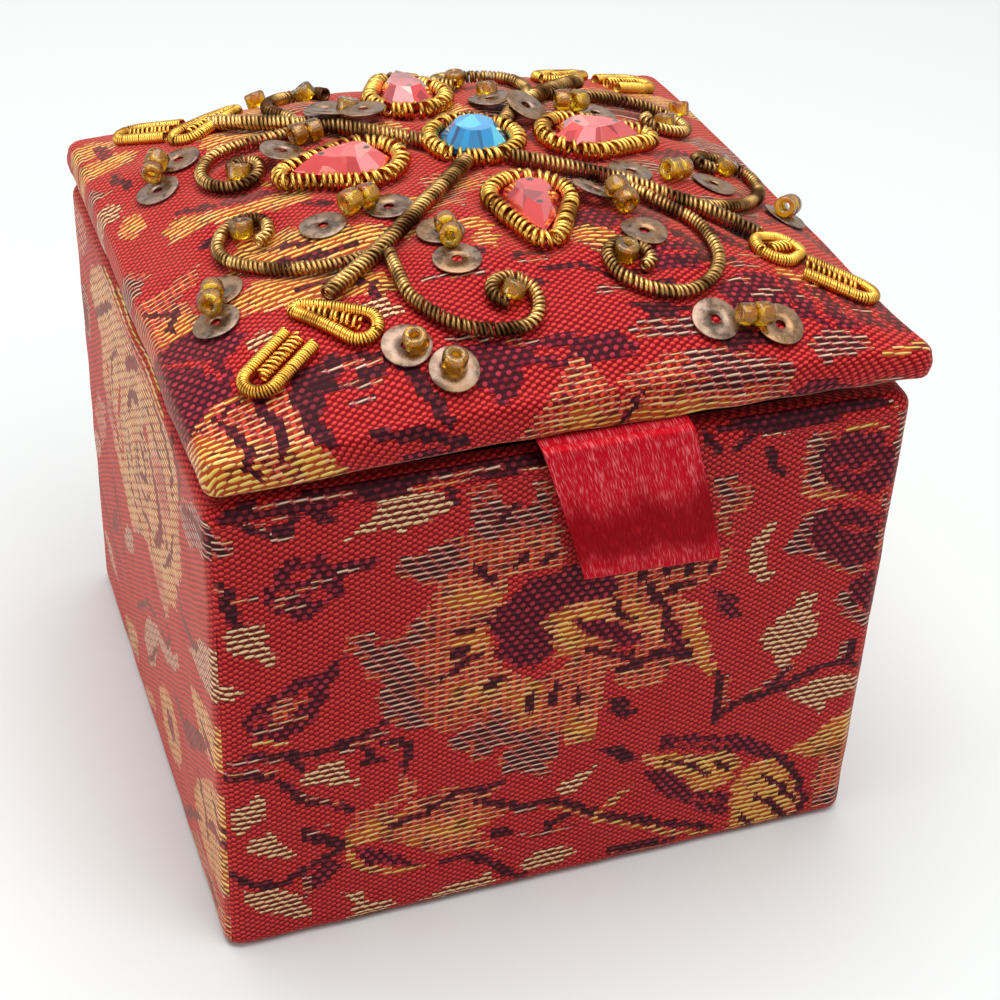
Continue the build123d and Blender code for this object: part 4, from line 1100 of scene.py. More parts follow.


# a dark stroke drawn beside the two front sequins, where the cloth is dark next to them
LID_DRAWING = read_drawing("""
    # front left: gold fan at the corner, dark twill leaf, yellow leaves under the stem
    rosy patch -34 -35 -20.6 -35 -21.2 -23.8 -24 -22.6 -27.4 -22.4 -34 -24
    yellow patch -34 -35 -25 -35 -25.4 -27 -28.6 -25 -34 -25
    yellow petal -22.6 -31 4 8 0
    dark stroke 0.9 -27.4 -24 -26.4 -27.4 -27 -30
    dark stroke 0.9 -24.6 -23 -23.6 -26.6 -24.2 -29
    plum patch -34 -12 -26 -12.4 -24 -14.2 -23.4 -16 -25.4 -17.6 -26 -20.4 -25.4 -22.6 -28.8 -24 -34 -25
    red stroke 0.6 -30 -14.4 -27 -17 -26.4 -19.6
    yellow stroke 0.8 -29.4 -23.6 -27 -22.2 -24.6 -21.9
    tan patch -24.2 -16.8 -22.4 -16.4 -21.2 -17.6 -23 -18.2
    yellow patch -24.6 -12.6 -23.6 -10.8 -20.4 -9.8 -16 -11.4 -13 -12.4 -11.4 -14.6 -11.2 -16.4 -12.8
        -17 -15 -16 -18 -15.2 -21.4 -14.4
    yellow patch -22.8 -6.4 -21 -2.8 -17.6 -3.4 -14.4 -5.8 -10.8 -7 -8.6 -9 -11.4 -11.2 -16.6 -10.8 -20
        -8.6
    yellow petal -14 -8.6 6 2.4 -14
    dark stroke 0.7 -18.6 -13 -15 -13.4 -12.6 -15.4
    dark stroke 0.9 -13.4 -15.6 -13.2 -18.6
    tan patch -15 -17 -12.4 -17.2 -11.8 -19.4 -13.8 -19.6
    # down the left edge
    rosy patch -34 -4.4 -28.4 -4.8 -24.8 -3.8 -24.4 -5.4 -26.8 -7 -26.2 -9 -26.6 -11.6 -29 -12.4 -34
        -12.4
    yellow petal -27.6 -10.6 3.4 3.4 0
    dark stroke 0.7 -29.6 -6.6 -27.6 -8.6 -28.4 -11
    pale patch -34 0.6 -29 0.4 -28.2 -1.4 -29.2 -3.2 -34 -3.4
    yellow patch -26.2 3.4 -24.6 4.8 -22.6 3.6 -20 2.2 -16 2.8 -13.6 1.8 -13.6 -0.8 -17.6 -0.2 -21 0
        -22.6 1 -25.8 1.2
    plum patch -22.2 3.8 -20 4.6 -17 4.2 -16.4 2.6 -19.4 2.6
    dark stroke 0.9 -24 5.4 -21.4 4
    yellow stroke 0.7 -17 4.8 -15.2 4.2
    yellow patch -29.2 7 -28.2 9.6 -26.8 8.8 -26.6 6.2 -28 5.2
    tan patch -34 12 -29 13 -27.6 11.4 -29 9.8 -34 9.6
    yellow patch -34 21.4 -27 22 -24.8 20.6 -25.2 18.4 -28 18.6 -34 19
    yellow patch -34 25 -27.6 26.4 -25.4 24.8 -26.4 22.8 -34 22.6
    plum stroke 1.2 -27.8 24.6 -27.2 21.4
    dark stroke 0.9 -27.4 17.4 -27 13.8
    pale patch -34 16.6 -29.4 16.8 -28.4 14.8 -34 14.2
    red petal -15.6 -2.4 2.4 1.6 0
    dark stroke 0.9 -14.6 -1 -12.6 -2.2
    pale stroke 0.8 -20 -2.4 -18 -1
    # middle: strands round the stones
    yellow patch -9.8 -8.2 -8 -8 -6.4 -9.6 -8.4 -10.2
    pale patch -5.4 -1.6 -3 -0.6 0.4 -1 1.6 -3 0 -4.8 -2.2 -4.8 -2.4 -7.4 -4 -6 -3.8 -3.6
    yellow petal -1.6 -2.6 4.4 2.4 -20
    yellow patch -4.2 -13.2 -2.8 -11.2 -1.2 -12.2 -2.2 -14.2
    pale stroke 0.8 -9.4 -16.2 -7 -16.6 -4.4 -16.9
    yellow patch 0.4 12.8 2.6 13.2 5.2 10.2 3.6 8.4 0.8 9.2
    yellow patch -5.8 9.6 -3.6 10.8 -2.4 8 -4 6.2
    rosy patch -8.4 5.6 -4.6 6.4 -4 4.4 -8 3.8
    yellow patch -20.6 15 -17 16.8 -14.4 15.8 -13.2 13.4 -16 14 -19.4 13.4
    yellow patch -16.4 19 -13.4 22.6 -9 22.4 -6.4 18.6 -9.8 16.4 -13.6 17.2
    pale patch -15 25.4 -9 27.4 -3 26 -5 23.4 -11 23.6
    pale patch 6 -2.4 10.6 -4.4 13.6 -6.6 12.2 -8 8.6 -6.4 6.4 -5
    plum patch 11.6 -8.4 14 -9 13.8 -12.4 11.8 -14 10.6 -11
    yellow petal 9.6 13 7 3.4 24
    pale patch 12.6 -0.6 16.6 0 21 -1.4 20.4 -3.4 16.6 -2.6 13.6 -2.6
    plum petal 20.6 1.8 6 3 14
    yellow patch 14.4 12.4 18 14.2 22 13 21 11 16.6 10.8
    pale patch 23 8 26.6 9.6 34 9 34 4 27.4 4.4 24.4 5.6
    yellow patch 20 18 24 20.4 34 20 34 15.4 25.6 15.8
    rosy petal 8 21.6 11 4.6 -10 5
    plum petal 16 20 7 3 30
    tan leaf 20.6 25.4 6 3 10
    yellow petal 4 27.4 9 3 0 5
    dark stroke 1 2.6 18.8 6.4 17.2 10.6 17.6
    dark stroke 0.9 -10.6 12.6 -8 10
    # front: dark sprays with pale dashes, and the pale fans over the ribbon
    dark patch -21.8 -22 -18 -21.4 -14.8 -22.2 -13.8 -24 -16.6 -24.8 -19.4 -24.4 -20.4 -26.4 -19.6 -28.8
        -21.6 -28.2 -22.2 -25
    pale stroke 0.7 -19.2 -22.5 -15 -23.1
    pale stroke 0.6 -17.8 -24.3 -15.2 -24.9
    pale stroke 0.5 -18.4 -25.6 -16.2 -25.7
    dark stroke 1.3 -17 -28.6 -13.4 -29.2 -10 -31
    dark stroke 1.2 -13.4 -23.8 -11.8 -26.6 -11 -29
    red petal -17.6 -23.6 2 0.8 -10
    plum patch -9 -23 -5 -23.4 0 -23.9 4 -24.4 5.8 -26 1 -26.2 -4 -25.8 -6 -28.4 -8.6 -26
    pale stroke 0.7 -9.4 -22.3 -6.2 -22.8
    pale stroke 0.6 -4.6 -23.6 -2.2 -24
    red petal -1.6 -25 3.4 0.9 -8
    plum petal -14 -32.4 9 3 0 4
    rosy patch -7.4 -35 -5 -30.6 -2.4 -27.8 0.2 -25.4 2.2 -27.4 3.4 -30 5.6 -35
    rosy patch 3.4 -29.6 3.2 -27.6 7 -26.5 12 -26.2 14.6 -27.2 18 -28.2 20.4 -35 5 -35
    pale patch 9 -27.4 12 -26.2 14.8 -27.2 18.4 -28.4 16 -30 10 -30
    yellow petal 0.4 -31.6 4.4 3.4 0
    yellow petal 9 -31.4 7 2.6 0
    dark stroke 0.7 5 -29 3.4 -32
    pale patch 4.8 -24.5 7 -23.7 12 -23.9 11.8 -25 6 -25.5
    dark patch 5.2 -22 9.4 -22.4 11.4 -23.3 8 -23.8
    dark patch 11.4 -24.8 14.6 -24.6 17.4 -26.4 13 -26.8
    pale stroke 0.8 3.8 -20.6 6.2 -20.3
    pale patch 3.6 -13.4 6.6 -14.2 9.6 -15 9 -16.7 5.2 -16.4
    yellow petal 6.6 -15.4 3.6 1.4 -10
    plum patch 9.4 -16.6 12.4 -15.6 15.8 -15 16.4 -17.4 13 -18.8 9.8 -19.2
    red stroke 0.7 11 -17 14.6 -17.2
    plum patch 14.4 -20.6 17 -19.4 19.8 -19.8 20 -24 17.4 -23.6 15.8 -24.8 14.2 -23
    plum patch 3 -10.4 5 -9.4 8.4 -9.8 10 -12 8 -13 5.6 -12.2 3.6 -12.6
    dark stroke 0.8 3.8 -17.4 6.2 -19 9 -18.7
    dark stroke 0.7 -1.8 -15.6 1.6 -15
    dark stroke 0.7 0.4 -17.2 3.4 -17.8
    dark stroke 0.7 -2.4 -18.4 0 -19
    dark stroke 0.8 7.4 -20.4 10.6 -20.2
    pale stroke 0.7 -1 -16.4 1.4 -16.1
    pale stroke 0.7 15.8 -18 18.2 -18.4
    pale stroke 0.7 15.2 -20.1 17.6 -20.7
    pale stroke 0.8 17 -22.2 20.2 -21.3
    pale patch 16.8 -6.6 20.4 -6 24.6 -7.4 23.6 -9.2 19 -9
    plum patch 18.4 -9.6 23.4 -10 22 -12.6 19 -13.6
    # front right: dark twill leaves, red showing between them
    plum patch 20.2 -19.6 24 -18.6 28 -19.8 34 -20 34 -26.6 26 -25.4 22.4 -25.9 20.2 -24
    pale stroke 0.6 21 -22.4 23.6 -21.9
    pale stroke 0.6 24.6 -23.8 27 -23.3
    red stroke 0.8 21.8 -19.4 22.8 -25.6
    red stroke 0.8 24.4 -19 25.4 -25.4
    red stroke 0.8 27 -19.6 28 -25.8
    plum patch 25.6 -4 29 -5 34 -6 34 -13.4 28.6 -13 26.6 -9
    red stroke 0.8 27.4 -6 30 -11
    pale patch 19.4 -26.9 22 -25.7 25.2 -26.4 25.2 -27.8 21 -28.8
    yellow stroke 1 26 -28.4 31 -27
    plum petal 22 -32 8 3.6 0 4
    pale petal 28.4 -31.6 5 2 0
    # the worn middle and back: pale and gold leaves broken by dark strands
    yellow patch -20 17 -14 18.4 -9.6 15.4 -4.4 9.8 -2.2 6.4 -4.2 5.6 -8 9 -12.6 12.4 -18.4 14.2
    pale stroke 2.2 -12 20 -9 17.4 -6 15
    dark stroke 1 -15 12 -11 8.6
    dark stroke 0.9 -9 14 -5 10.4
    dark stroke 0.9 -17.4 16.2 -13.4 15.6
    pale patch 4 9 9.6 8.4 13 11.6 12.4 16 8 17.4 4.6 14
    dark stroke 1.2 5 12 8 10.4 11 9.6
    dark stroke 1 7 16.6 9.6 13.4
    plum patch 5.4 9 7.6 8.2 9 6 7.4 4 5.6 5
    pale patch 13 9 17 10.6 22.4 9.6 25 11.6 20 13.4 14.6 12.6
    dark stroke 1.2 15 11.2 19 11.8 22.6 11
    rosy patch 15 15.4 21 16.6 26 15 24 18 17 19.6
    dark stroke 1.4 17 17 20.6 15.8 24 16.6
    pale stroke 2 21 -1.6 24 -3 26.6 -1.8
    dark stroke 1.2 21.4 -2.8 25 -4.4
    pale stroke 1.6 12.6 -2.2 15.4 -3.4
    dark stroke 1.1 17 -13 19.2 -16
    dark stroke 1.1 19.2 -12.4 21.4 -14.6
    plum patch 5.8 -11.4 8 -11.8 8.4 -15 6 -14
    dark stroke 1 12 -18.6 14.8 -17.2 17.4 -17.6
    pale stroke 0.7 16.4 -18.4 19 -18.9
    pale stroke 0.7 18 -16.9 20.4 -17.3
    dark stroke 1 12.8 -13.6 15 -16
    dark stroke 1 21 -8.6 24.4 -9.8 26 -8.8
    dark stroke 0.9 -20.6 -8.2 -16.4 -9.2 -12.4 -9.8
    dark stroke 0.8 -19.4 -5.6 -15.8 -7.2
    dark stroke 1 -6.6 -12.4 -3.6 -14.6
    dark stroke 0.9 -24 -1.4 -21.4 -0.6
    yellow patch -8.4 -3.4 -5.6 -4 -3.6 -6 -5.4 -7 -8 -5.8
    yellow patch -5 -9.6 -2.6 -9 -0.8 -10.4 -2.6 -11.6
    dark stroke 0.8 -9 -6.6 -6.4 -8.4
    yellow patch 4.4 -12.6 6 -12 8.4 -13.4 8 -15.4 5 -15.2
    yellow stroke 1.4 20.6 -19 24 -20.4
    pale patch 19.6 -14.6 21.4 -14 22.4 -15.8 20.6 -17
""")
lid_cover = lid_cloth()
lid_cover.data.materials.append(BROCADE)
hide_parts("lid_brocade")


# Boards, linings and base paper: grey board as cut, red velvet over card inside, dull maroon paper
# below, all glued. Their shapes are the CAD's own.
def fibre_material(name, colour, fleck, scale, rough, depth, sheen=0.0):
    """Matted fibres: two noises of fleck in one colour over another, and a slight relief."""
    material, n, shader = new_material(name)
    fine, broad = n.noise(n.in_place(), scale, 5.0, 0.7), n.noise(n.in_place(), scale / 14, 2.0)
    share = n.times(n.ramp(fine, 0.4, 0.66), n.ramp(broad, 0.2, 0.8))
    n.feed(shader, {"Base Color": n.blend(share, srgb(*colour), srgb(*fleck)), "Roughness": rough,
                    "Specular IOR Level": 0.2, "Sheen Weight": sheen, "Sheen Roughness": 0.35,
                    "Sheen Tint": srgb(255, 150, 160), "Normal": relief(n, fine, depth)})
    return material


BOARD = fibre_material("grey_board", (158, 150, 138), (112, 104, 94), 1400.0, 0.85, 0.0001)
VELVET = fibre_material("lining_velvet", (104, 4, 20), (142, 14, 34), 5200.0, 0.8, 0.00012, 0.6)
PAPER = fibre_material("base_paper", (92, 22, 30), (128, 50, 52), 2200.0, 0.7, 0.00005)
for material, names in ((BOARD, ("base_board", "front_wall_board", "back_wall_board", "left_wall_board",
                                 "right_wall_board", "lid_board")),
                        (VELVET, ("floor_lining", "front_lining", "back_lining", "left_lining",
                                  "right_lining", "lid_lining")),
                        (PAPER, ("base_cover",))):
    for name in names:
        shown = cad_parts[name]
        shown.data.materials.clear()
        shown.data.materials.append(material)


# Wadding: a soft pad of polyester fibre, higher in the middle, that lies on the lid's board and is
# held by the brocade drawn over it.
WADDING_INSET = 1.1
WADDING_UNDER_CLOTH = 0.9
LID_BOARD_TOP = 2.35


def lid_wadding():
    """A closed pad: the crown's height a little lower, the board's below, and a skirt between."""
    u, v = np.meshgrid(np.linspace(-1, 1, 41), np.linspace(-1, 1, 39))
    x, y = lid_plan(u, v, WADDING_INSET)
    top = np.stack([x, y, crown_height(x, y) - WADDING_UNDER_CLOTH], -1).reshape(-1, 3)
    low = np.stack([x, y, LID_BOARD_TOP + 0 * x], -1).reshape(-1, 3)
    loop, quads = round_grid(*u.shape), grid_faces(*u.shape)
    skirt = np.stack([loop, loop + u.size, np.roll(loop, -1) + u.size, np.roll(loop, -1)], -1)
    faces = np.concatenate([quads, quads[:, ::-1] + u.size, skirt])
    return mesh_piece("lid_wadding", place_lid(np.concatenate([top, low])), faces, "lid")


wadding = lid_wadding()
material, n, shader = new_material("wadding")
n.feed(shader, {"Base Color": srgb(232, 228, 218), "Roughness": 0.9,
                "Normal": relief(n, n.noise(n.in_place(), 900.0, 4.0), 0.0004)})
wadding.data.materials.append(material)
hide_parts("lid_pad")


# Stems and scrolls: coiled antique bronze wire, threaded on cotton like a long bead and stitched
# down along its route. The four stems lie first, and the scrolls spring from them.
COIL_SEGMENTS = 13
WIRE_SIDES = 5
STEM = {"lift": 0.62, "radius": 0.75, "wire": 0.18, "pitch": 0.44, "lean": 0.35, "loose": 0.12}
SCROLL = {"lift": 0.5, "radius": 0.62, "wire": 0.17, "pitch": 0.42, "lean": 0.3, "loose": 0.12}


def coiled_wire(path, lift, radius, wire, pitch, lean, loose, seed, square=0.0):
    """A wire wound round a route over the crown: a helix of the given outer radius and pitch.

    The middle of the wire runs at radius r about the route: r (cos a N + sin a B), moved along the
    route by lean r sin a so that the turns slant, and by a loose share of chance. A square share
    pushes the circle out towards a square. The tube's ends are closed by their middle points.
    """
    dice = np.random.default_rng(seed)
    line = over_crown(path, np.full(len(path), lift))
    run = np.concatenate([[0], np.cumsum(np.linalg.norm(np.diff(line, axis=0), axis=1))])
    turns = max(int(run[-1] / pitch), 2)
    angle = np.linspace(0, 2 * np.pi * turns, turns * COIL_SEGMENTS + 1)
    at_turn = np.arange(len(angle)) / COIL_SEGMENTS
    wobble, swell = (np.interp(at_turn, np.arange(turns + 1), dice.normal(0, 1, turns + 1)) for _ in range(2))
    at = np.clip(np.linspace(0, run[-1], len(angle)) + loose * pitch * wobble, 0, run[-1])
    middle = np.stack([np.interp(at, run, line[:, axis]) for axis in range(3)], -1)

    # the route's direction, read half a turn to either side so that it doesn't follow the wobble
    far = COIL_SEGMENTS // 2
    along = np.roll(middle, -far, 0) - np.roll(middle, far, 0)
    along[:far] = middle[far:2 * far] - middle[:far]
    along[-far:] = middle[-far:] - middle[-2 * far:-far]
    along = unit(along)
    side = unit(np.cross(along, crown_normal(middle[:, 0], middle[:, 1])))
    up = np.cross(side, along)
    c, s = np.cos(angle)[:, None], np.sin(angle)[:, None]
    boxy = 1 + square * (1 / np.maximum(np.abs(c), np.abs(s)) - 1)
    out = c * up + s * side
    r = (radius - wire) * boxy * (1 + 0.1 * loose * swell[:, None])
    centre = middle + r * out + lean * r * s * along

    ahead = unit(np.gradient(centre, axis=0))
    beside = unit(np.cross(ahead, out))
    out = np.cross(beside, ahead)
    phi = np.linspace(0, 2 * np.pi, WIRE_SIDES, endpoint=False)[:, None]
    rings = centre[:, None] + wire * (np.cos(phi) * out[:, None] + np.sin(phi) * beside[:, None])
    points = np.concatenate([rings.reshape(-1, 3), centre[:1], centre[-1:]])
    faces = grid_faces(len(centre), WIRE_SIDES, wrap_columns=True).tolist()
    first, last = len(points) - 2, len(points) - 1
    tail = (len(centre) - 1) * WIRE_SIDES
    around = [(k, (k + 1) % WIRE_SIDES) for k in range(WIRE_SIDES)]
    faces += [[first, b, a] for a, b in around] + [[last, tail + a, tail + b] for a, b in around]
    return points, faces


def gather(parts):
    """Several meshes' points and faces as one."""
    points, faces, count = [], [], 0
    for more, more_faces in parts:
        points.append(more)
        faces += [[index + count for index in face] for face in more_faces]
        count += len(more)
    return np.concatenate(points), faces


def lid_piece(name, parts, material, node, rounded=True):
    """A piece in the lid's frame, set in place and standing for its CAD node."""
    points, faces = gather(parts)
    piece = mesh_piece(name, place_lid(points), faces, "lid", rounded)
    piece.data.materials.append(material)
    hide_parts(node)
    return piece


def wire_material(name, light, deep, rough, tarnish):
    """Bare metal wire, darker where it is tarnished."""
    material, n, shader = new_material(name)
    share = n.ramp(n.noise(n.in_place(), 260.0, 3.0), *tarnish)
    n.feed(shader, {"Base Color": n.blend(share, srgb(*light), srgb(*deep)),
                    "Roughness": n.line(share, 0.15, rough), "Metallic": 1.0})
    return material


BRONZE = wire_material("bronze_coil", (206, 164, 100), (72, 44, 22), 0.26, (0.34, 0.66))
for kind, routes, wound, first_seed in (("stem_", STEMS, STEM, 0), ("scroll_", SCROLLS, SCROLL, 20)):
    for k, (where, places) in enumerate(routes.items()):
        coil = coiled_wire(smooth(places), seed=first_seed + k, **wound)
        lid_piece("bullion_" + kind + where, [coil], BRONZE, kind + where)


# Stones: flat-backed moulded plastic stones with foil behind, a round blue one and four red drops.
# Each drop has a sewing hole at either end, and all are held by thread and by their rings.
STONE_LIFT = 0.25
GIRDLE = 0.5
TABLE_SHARE = 0.6
SHOULDER_SHARE = 0.62


def cut_stone(name, spot, outline, height, material, seed, node):
    """Facets from the girdle up to a smaller table, each with a random share of painted reflection of its
    own, standing for the light that foil throws back.

    The outline is stood upright on the crown's normal at its middle: what each point has along the
    normal is taken from it, and its height is added there.
    """
    x, y = outline
    around, middle = len(x), np.mean(x)
    rows = [(x, y, 0.0), (x, y, GIRDLE), (middle + (x - middle) * TABLE_SHARE, y * TABLE_SHARE, height)]
    base = over_crown(spot[0], STONE_LIFT)
    normal = crown_normal(*base[:2])
    points = []
    for px, py, z in rows:
        flat = np.concatenate([turned(px, py, *spot) * LID_HALF - base[:2], np.zeros((around, 1))], 1)
        points.append(base + flat - np.outer(flat @ normal, normal) + z * normal)
    faces = grid_faces(3, around, wrap_columns=True).tolist()
    faces += [list(range(around))[::-1], list(range(2 * around, 3 * around))]
    stone = lid_piece(name, [(np.concatenate(points), faces)], material, node, rounded=False)
    shares = stone.data.attributes.new("facet", "FLOAT", "FACE")
    shares.data.foreach_set("value", np.random.default_rng(seed).uniform(0, 1, len(faces)).astype(np.float32))
    mark(stone, "spot", (np.concatenate([row[0] for row in rows]), np.concatenate([row[1] for row in rows]),
                         np.zeros(3 * around)))


def stone_material(name, light, face, deep, holes):
    """Clear moulded plastic over foil, with painted reflections: facets and the cells seen through them are
    coloured unevenly deep, face or light.
    """
    material, n, shader = new_material(name)
    spot = n.attribute("spot")
    cell = n.node("SeparateXYZ", {0: n.node("TexVoronoi", {"Vector": spot, "Scale": 0.5}, "Color")})
    share = n.line(n.attribute("facet", "Fac"), 0.45, n.times(cell, 0.55))
    # painted reflections: each facet and cell takes a random share between the deep, face and light colours
    colour = n.blend(n.ramp(share, 0.12, 0.5), srgb(*deep), srgb(*face))
    colour = n.blend(n.ramp(share, 0.62, 0.86), colour, srgb(*light))
    # the sewing holes are painted only: dark spots of painted shade
    for hole in holes:
        away = n.node("VectorMath", {0: spot, 1: hole}, "Value", operation="DISTANCE")
        colour = n.blend(n.ramp(away, 0.36, 0.22), colour, srgb(40, 0, 6))
    n.feed(shader, {"Base Color": colour, "Roughness": 0.08, "Metallic": 0.3,
                    "Coat Weight": 1.0, "Coat Roughness": 0.03})
    return material


def drop_facets():
    """A drop stone's corners: four about its round end, a shoulder, the tip, and the same mirrored."""
    bearings = np.radians([180, 128, 84, 52])
    x = np.append(DROP_RADIUS * np.cos(bearings), [DROP_LENGTH * SHOULDER_SHARE, DROP_LENGTH + DROP_TIP])
    y = np.append(DROP_RADIUS * np.sin(bearings), [DROP_RADIUS * SHOULDER_SHARE, 0])
    return np.append(x, x[-2:0:-1])[::-1], np.append(y, -y[-2:0:-1])[::-1]


RED_STONE = stone_material("red_stone", (250, 136, 124), (226, 62, 64), (154, 6, 22),
                           ((-0.55, 0, 0), (3.35, 0, 0)))
BLUE_STONE = stone_material("blue_stone", (70, 206, 240), (0, 150, 214), (0, 56, 104), ())
for k, (where, drop) in enumerate(DROPS.items()):
    cut_stone("drop_stone_" + where, drop, drop_facets(), 1.8, RED_STONE, 3 + k,
              "red_stone_" + where)
bearings = np.linspace(0, 2 * np.pi, 12, endpoint=False)
cut_stone("round_stone", (BLUE_AT, 0), BLUE_RADIUS * np.array([np.cos(bearings), np.sin(bearings)]), 2.0,
          BLUE_STONE, 9, "blue_stone")


# Stone rings: loosely coiled bright gilt wire, threaded on cotton, pulled open as it was stitched
# down round each stone, with its two ends meeting.
GILT = wire_material("gold_coil", (224, 174, 84), (124, 78, 26), 0.2, (0.42, 0.75))
RING = {"lift": 0.75, "radius": 0.85, "wire": 0.2, "pitch": 0.6, "lean": 0.15, "loose": 0.32}
for k, (where, drop) in enumerate(DROPS.items()):
    coil = coiled_wire(ring_route(drop, 0.12), seed=40 + k, **RING)
    lid_piece("gilt_ring_" + where, [coil], GILT, "red_stone_frame_" + where)
bearings = np.linspace(0.03, 2 * np.pi - 0.03, 120)
round_ring = (BLUE_RADIUS + RING_OUT) * np.array([np.cos(bearings), np.sin(bearings)])
coil = coiled_wire(turned(*round_ring, BLUE_AT, 90), seed=50, **RING)
lid_piece("gilt_ring_middle", [coil], GILT, "blue_stone_frame")


# Corner motifs: at each corner a loop and a hairpin of fine bright purl, a wire coiled without a
# core, with a square-wound coil laid inside each. All are stitched down like short beads.
BRIGHT = wire_material("bright_coil", (226, 174, 78), (138, 90, 28), 0.2, (0.45, 0.75))
HAIRPINS = {"front_left": ((-0.79, -0.77), 35.0), "front_right": ((0.91, -0.73), 147.0),
            "back_left": ((-0.81, 0.83), -45.0), "back_right": ((0.83, 0.76), -152.0)}
LOOPS = {"front_left": ((-0.565, -0.645), 134.0), "front_right": ((0.735, -0.56), 26.0),
         "back_left": ((-0.61, 0.68), 30.0), "back_right": ((0.56, 0.73), 38.0)}
HAIRPIN_HALF = 1.37
HAIRPIN_LENGTH = 4.6
LONG_LOOP = {"half": 1.37, "tip": 0.45, "length": 4.4, "check": 4.4}
ROUND_LOOP = {"half": 1.75, "tip": 1.45, "length": 0.9, "check": 2.5}
PURL = {"lift": 0.5, "radius": 0.58, "wire": 0.11, "pitch": 0.215, "lean": 0.1, "loose": 0.1}
CHECK = {"lift": 0.55, "radius": 0.6, "wire": 0.15, "pitch": 0.46, "lean": 0.1, "loose": 0.15, "square": 0.8}


def corner_motif(kind, corner, outline, check_ends, spot, seed):
    """A purl laid along an outline about its spot, and the check coil on the line within it."""
    coil = coiled_wire(turned(*outline, *spot), seed=seed, **PURL)
    lid_piece("purl_" + kind + corner, [coil], BRIGHT, "corner_" + kind + corner)
    inside = np.linspace(*check_ends, 30)
    return coiled_wire(turned(inside, 0 * inside, *spot), seed=seed + 10, **CHECK)


checks = []
bend = np.linspace(np.pi / 2, 3 * np.pi / 2, 30)
legs = np.linspace(HAIRPIN_LENGTH, 0, 20)[:-1]
hairpin = (np.concatenate([legs, HAIRPIN_HALF * np.cos(bend), legs[::-1]]),
           np.concatenate([0 * legs + HAIRPIN_HALF, HAIRPIN_HALF * np.sin(bend), 0 * legs - HAIRPIN_HALF]))
for k, corner in enumerate(HAIRPINS):
    loop = ROUND_LOOP if corner == "front_right" else LONG_LOOP
    x, y = drop_outline(loop["half"], loop["tip"], loop["length"] + loop["half"] - loop["tip"], 0.1)
    reach = loop["check"] / 2
    checks.append(corner_motif("loop_", corner, (x - loop["length"] / 2, y), (-reach, reach),
                               LOOPS[corner], 60 + k))
    checks.append(corner_motif("hairpin_", corner, hairpin, (0, HAIRPIN_LENGTH), HAIRPINS[corner], 80 + k))
lid_piece("check_purls", checks, BRIGHT, "check_coils")


# Sequins: thin flat metal discs with a hole, worn from gilt to grey, each held by the thread that
# goes through it. They lie on the cloth or lean on a cord.
SEQUINS = [(-0.83, 0.36), (-0.74, 0.49), (-0.48, 0.26), (-0.30, 0.44), (-0.48, -0.20), (-0.29, -0.19),
           (-0.84, -0.46), (-0.80, -0.33), (-0.20, -0.53), (-0.20, -0.38), (-0.42, -0.80), (-0.32, -0.89),
           (0.28, -0.29), (0.35, -0.50), (0.42, -0.86), (0.60, -0.89), (0.46, -0.12), (0.72, -0.14),
           (0.90, -0.27), (-0.20, 0.39), (-0.28, 0.53), (0.20, 0.40), (0.52, 0.33), (0.28, 0.30)]
SEQUIN_RADIUS = 2.0
SEQUIN_HOLE = 0.45
SEQUIN_HALF = 0.06
SEQUIN_LIFT = 0.3
CORD_RADIUS = 0.7


def settle(place, radius, lift):
    """The lowest plane that a disc can rest on over the cloth and the cords: its middle and normal.

    Points of the disc ask for the cloth's height, or for the top of a cord that they lie over. Of
    planes tilted to each of sixteen sides by up to 24 degrees, the one whose middle is lowest holds.
    """
    x0, y0 = place * LID_HALF
    bearing, out = np.meshgrid(np.linspace(0, 2 * np.pi, 24, endpoint=False), [0.0, 0.5, 1.0])
    x, y = x0 + radius * (out * np.cos(bearing)).ravel(), y0 + radius * (out * np.sin(bearing)).ravel()
    away = from_stitches(x, y)
    over = np.sqrt(np.clip(CORD_RADIUS ** 2 - away ** 2, 0, None))
    need = crown_height(x, y) + lift + np.where(away < CORD_RADIUS, CORD_RADIUS * 0.75 + over, 0)
    base = crown_normal(x0, y0)
    best = None
    for tilt in np.radians([0, 6, 12, 18, 24]):
        for heading in np.linspace(0, 2 * np.pi, 16, endpoint=False):
            slope = np.tan(tilt) * np.array([np.cos(heading), np.sin(heading)]) - base[:2] / base[2]
            height = np.max(need - slope[0] * (x - x0) - slope[1] * (y - y0)) + 0.15 * tilt
            if best is None or height < best[0]:
                best = height, slope
    return np.array([x0, y0, best[0]]), unit(np.array([*-best[1], 1.0]))


def lathed(profile, middle, axis, sides=24, bulge=None):
    """Rings of points about an axis from a profile of radius and height, and the quads between them.

    A bulge lifts a point along the axis by a function of its bearing times its radius squared.
    """
    across = unit(np.cross(axis, [0.31, 0.95, 0.05]))
    beside = np.cross(axis, across)
    bearing = np.linspace(0, 2 * np.pi, sides, endpoint=False)[:, None]
    circle = np.cos(bearing) * across + np.sin(bearing) * beside
    lift = bulge(bearing) if bulge else 0 * bearing
    points = [middle + r * circle + (h + lift * r * r) * axis for r, h in profile]
    quads = grid_faces(len(profile) + 1, sides, wrap_columns=True)[:, ::-1] % (len(profile) * sides)
    return np.concatenate(points), quads.tolist()


